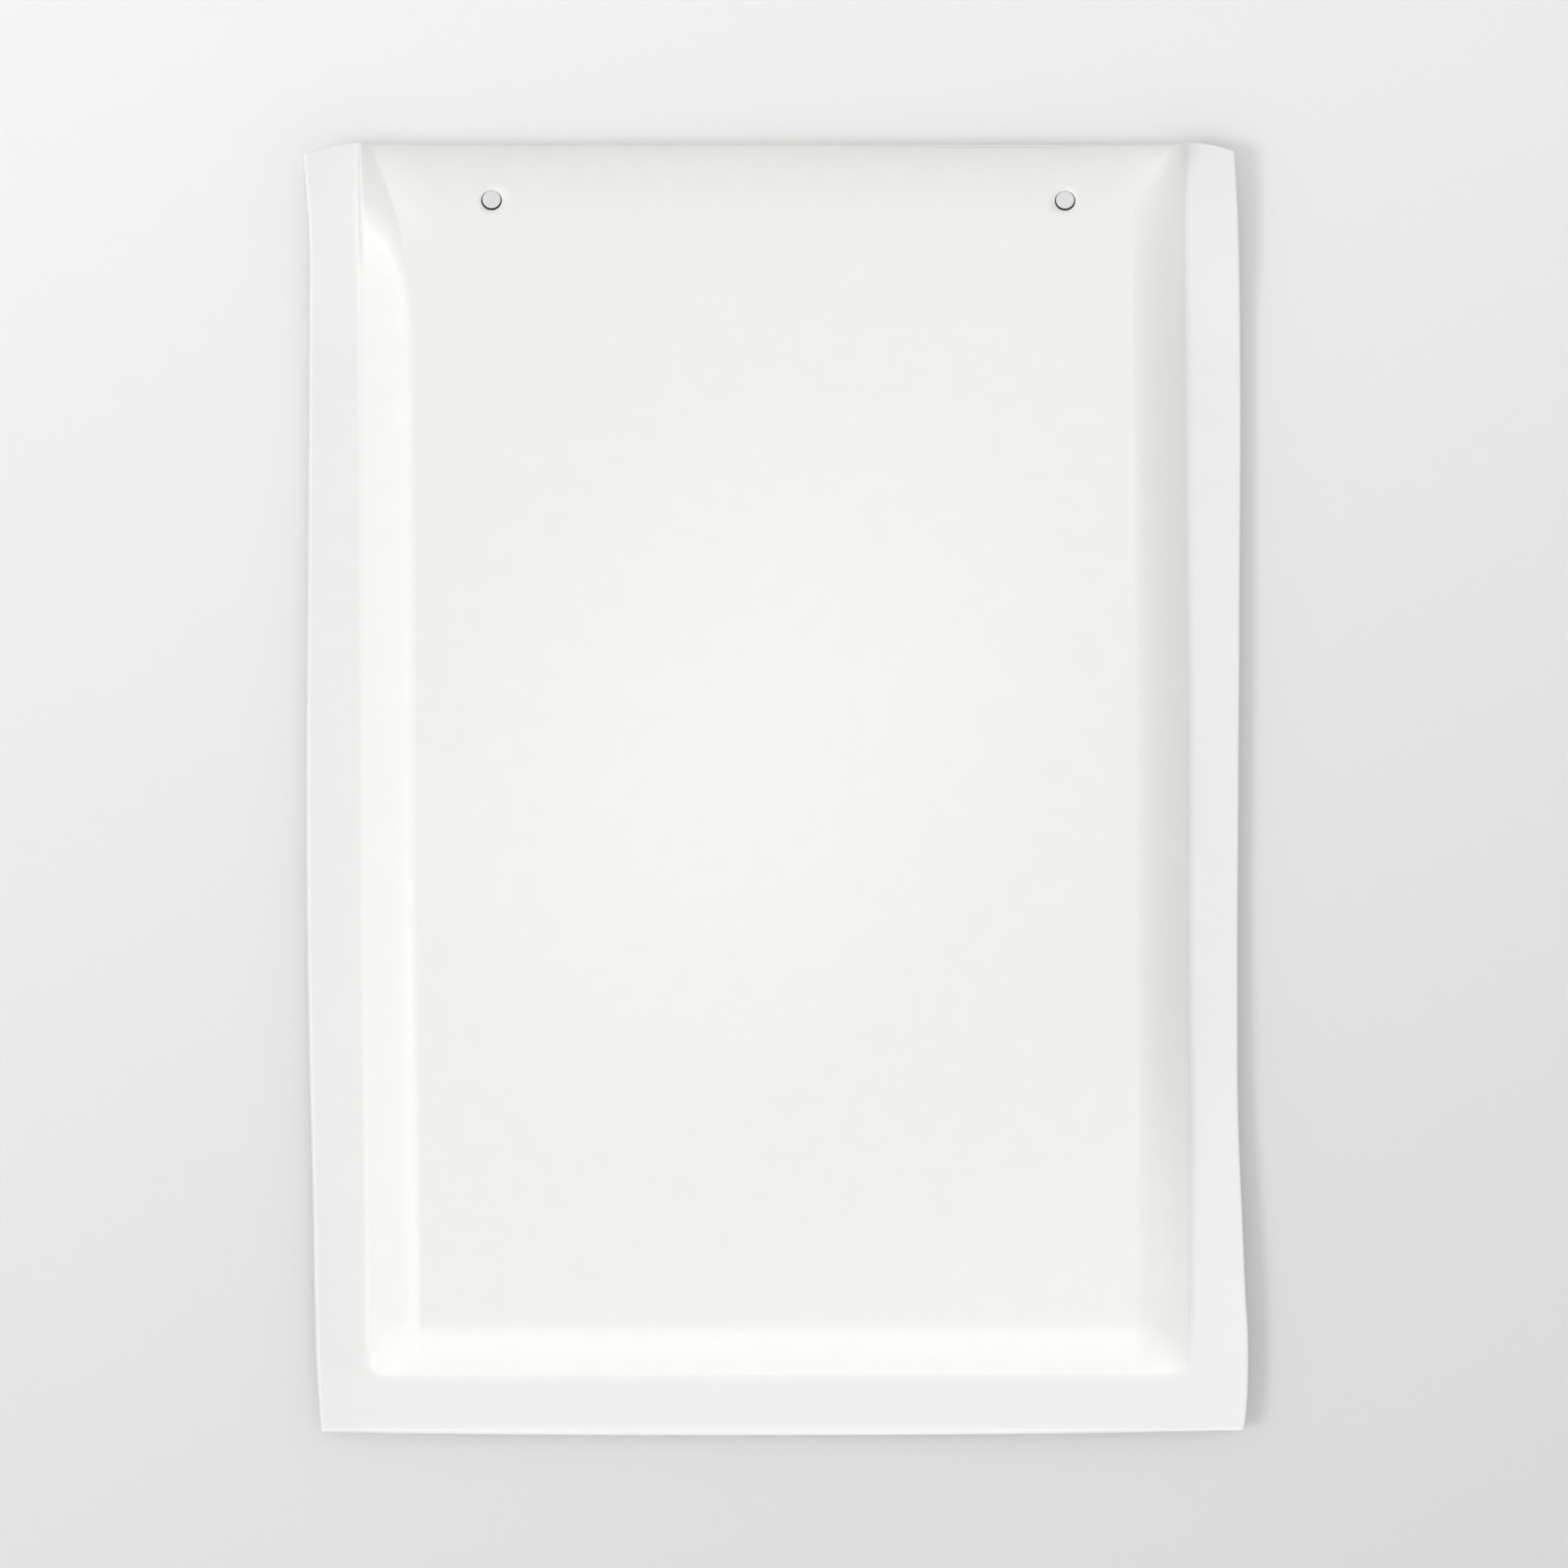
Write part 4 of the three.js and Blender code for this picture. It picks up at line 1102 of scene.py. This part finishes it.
def strip_piece(name, box, corner, curl):
    """A thin strip as a grid with rounded corners, whose ends curl up by the square of the way to
    the end."""
    low, high = box
    ends = low[0] + corner * slope_lines(STRIP_CORNER_COUNT)
    columns = np.concatenate([ends, spaced(ends[-1], -ends[-1], STRIP_SPACING), -ends[-2::-1]])
    rows = np.linspace(0, 1, STRIP_COUNT)
    x, v = np.meshgrid(columns, rows)
    half = (high[1] - low[1]) / 2
    into = np.clip((np.abs(x) - (high[0] - corner)) / corner, 0, 1)
    half = half - corner * (1 - np.sqrt(1 - into ** 2))
    y = (low[1] + high[1]) / 2 + (2 * v - 1) * half
    end = np.clip((np.abs(x) - (high[0] - CURL_LENGTH)) / CURL_LENGTH, 0, 1)
    z = high[2] + curl * end ** 2
    piece = mesh_object(name, np.stack([x, y, z], axis=-1), grid_faces(len(rows), len(columns)))
    return thicken(piece, high[2] - low[2])


class MAILER_OT_closure(Operator):
    """Adhesive across the flap, and the release strip over it with a finger hold at each end"""

    bl_idname = "mailer.closure"
    bl_label = "Adhesive and release strip"

    def execute(self, context):
        adhesive = strip_piece("adhesive_band", ADHESIVE_BOX, ADHESIVE_CORNER, 0.0)
        finished(adhesive, "flap", "hot_melt", material("hot_melt"), "adhesive_strip")
        release = strip_piece("release_liner_strip", RELEASE_BOX, RELEASE_CORNER, RELEASE_CURL)
        finished(release, "release_liner", "release_paper", material("release_paper"), "release_strip")
        return {"FINISHED"}


def sun(name, towards, strength, spread):
    """A lamp far away that shines from a direction, softened by how wide it looks."""
    light = bpy.data.lights.new(name, "SUN")
    light.energy = strength
    light.angle = math.radians(spread)
    lamp = bpy.data.objects.new(name, light)
    lamp.rotation_euler = Vector(towards).to_track_quat("Z", "Y").to_euler()
    lamp.location = towards
    bpy.context.scene.collection.objects.link(lamp)
    return lamp


def aim_at_ground(lamp, ground, state):
    """Keeps a lamp to the ground alone (INCLUDE), or to all but the ground (EXCLUDE)."""
    group = bpy.data.collections.new(lamp.name + " light")
    group.objects.link(ground)
    group.collection_objects[0].light_linking.link_state = state
    lamp.light_linking.receiver_collection = group


def spot(name, target, towards, distance, spread, power):
    """A lamp at a distance that lights a soft-edged round pool about a target, from a direction."""
    light = bpy.data.lights.new(name, "SPOT")
    light.energy = power
    light.spot_size = math.radians(spread)
    light.spot_blend = 1.0
    light.shadow_soft_size = 0.05
    lamp = bpy.data.objects.new(name, light)
    direction = Vector(towards).normalized()
    lamp.rotation_euler = direction.to_track_quat("Z", "Y").to_euler()
    lamp.location = Vector(target) + distance * direction
    bpy.context.scene.collection.objects.link(lamp)
    return lamp


class MAILER_OT_stage(Operator):
    """Ground, soft lamps and the camera straight above"""

    bl_idname = "mailer.stage"
    bl_label = "Studio"

    def execute(self, context):
        span, level = GROUND_SPAN, GROUND_LEVEL
        corners = [(-span, -span, level), (span, -span, level), (span, span, level),
                   (-span, span, level)]
        ground = mesh_object("ground", corners, [(0, 1, 2, 3)], smooth=False)
        ground.data.materials.append(material("ground"))
        world = bpy.data.worlds.new("studio")
        world.use_nodes = True
        background = world.node_tree.nodes["Background"].inputs
        background["Color"].default_value = (1, 1, 1, 1)
        background["Strength"].default_value = SURROUNDINGS
        context.scene.world = world
        sun("window", *WINDOW)
        aim_at_ground(sun("reflector", *REFLECTOR), ground, "EXCLUDE")
        ground_reflector = sun("ground reflector", *REFLECTOR)
        ground_reflector.data.use_shadow = False
        aim_at_ground(ground_reflector, ground, "INCLUDE")
        glow = spot("glow", *MIDDLE_GLOW)
        glow.rotation_euler = (0, 0, math.radians(MIDDLE_GLOW_TURN))
        glow.scale = (1, MIDDLE_GLOW_NARROWING, 1)
        aim_at_ground(spot("corner glow", *CORNER_GLOW), ground, "EXCLUDE")
        camera_data = bpy.data.cameras.new("camera")
        camera_data.lens = CAMERA_LENS
        camera_data.sensor_width = SENSOR_WIDTH
        camera_data.clip_start = 0.1
        camera_data.clip_end = 20.0
        camera = bpy.data.objects.new("camera", camera_data)
        camera.location = (*CAMERA_PLACE, SEAM_LEVEL * MM + CAMERA_DISTANCE)
        context.scene.collection.objects.link(camera)
        context.scene.camera = camera
        context.scene.view_settings.view_transform = "Standard"
        return {"FINISHED"}


class MAILER_PT_panel(Panel):
    """Lists the mailer's pieces in the sidebar"""

    bl_idname = "MAILER_PT_panel"
    bl_label = "Padded mailer"
    bl_space_type = "VIEW_3D"
    bl_region_type = "UI"
    bl_category = "Mailer"

    def draw(self, context):
        for name in MailerSizes.__annotations__:
            self.layout.prop(context.scene.mailer_sizes, name)
        for name in MailerColours.__annotations__:
            self.layout.prop(context.scene.mailer_colours, name)
        for maker in MAKERS:
            self.layout.operator(maker.bl_idname)


MAKERS = (
    MAILER_OT_front_sheet,
    MAILER_OT_back_sheet,
    MAILER_OT_liners,
    MAILER_OT_seals,
    MAILER_OT_closure,
    MAILER_OT_stage,
)
CLASSES = (MailerSizes, MailerColours, *MAKERS, MAILER_PT_panel)


def register():
    for made in CLASSES:
        bpy.utils.register_class(made)
    bpy.types.Scene.mailer_sizes = PointerProperty(type=MailerSizes)
    bpy.types.Scene.mailer_colours = PointerProperty(type=MailerColours)


def unregister():
    del bpy.types.Scene.mailer_colours
    del bpy.types.Scene.mailer_sizes
    for made in reversed(CLASSES):
        bpy.utils.unregister_class(made)


def main():
    register()
    bpy.ops.mailer.front_sheet()
    bpy.ops.mailer.back_sheet()
    bpy.ops.mailer.liners()
    bpy.ops.mailer.seals()
    bpy.ops.mailer.closure()
    bpy.ops.mailer.stage()


if __name__ == "__main__":
    main()
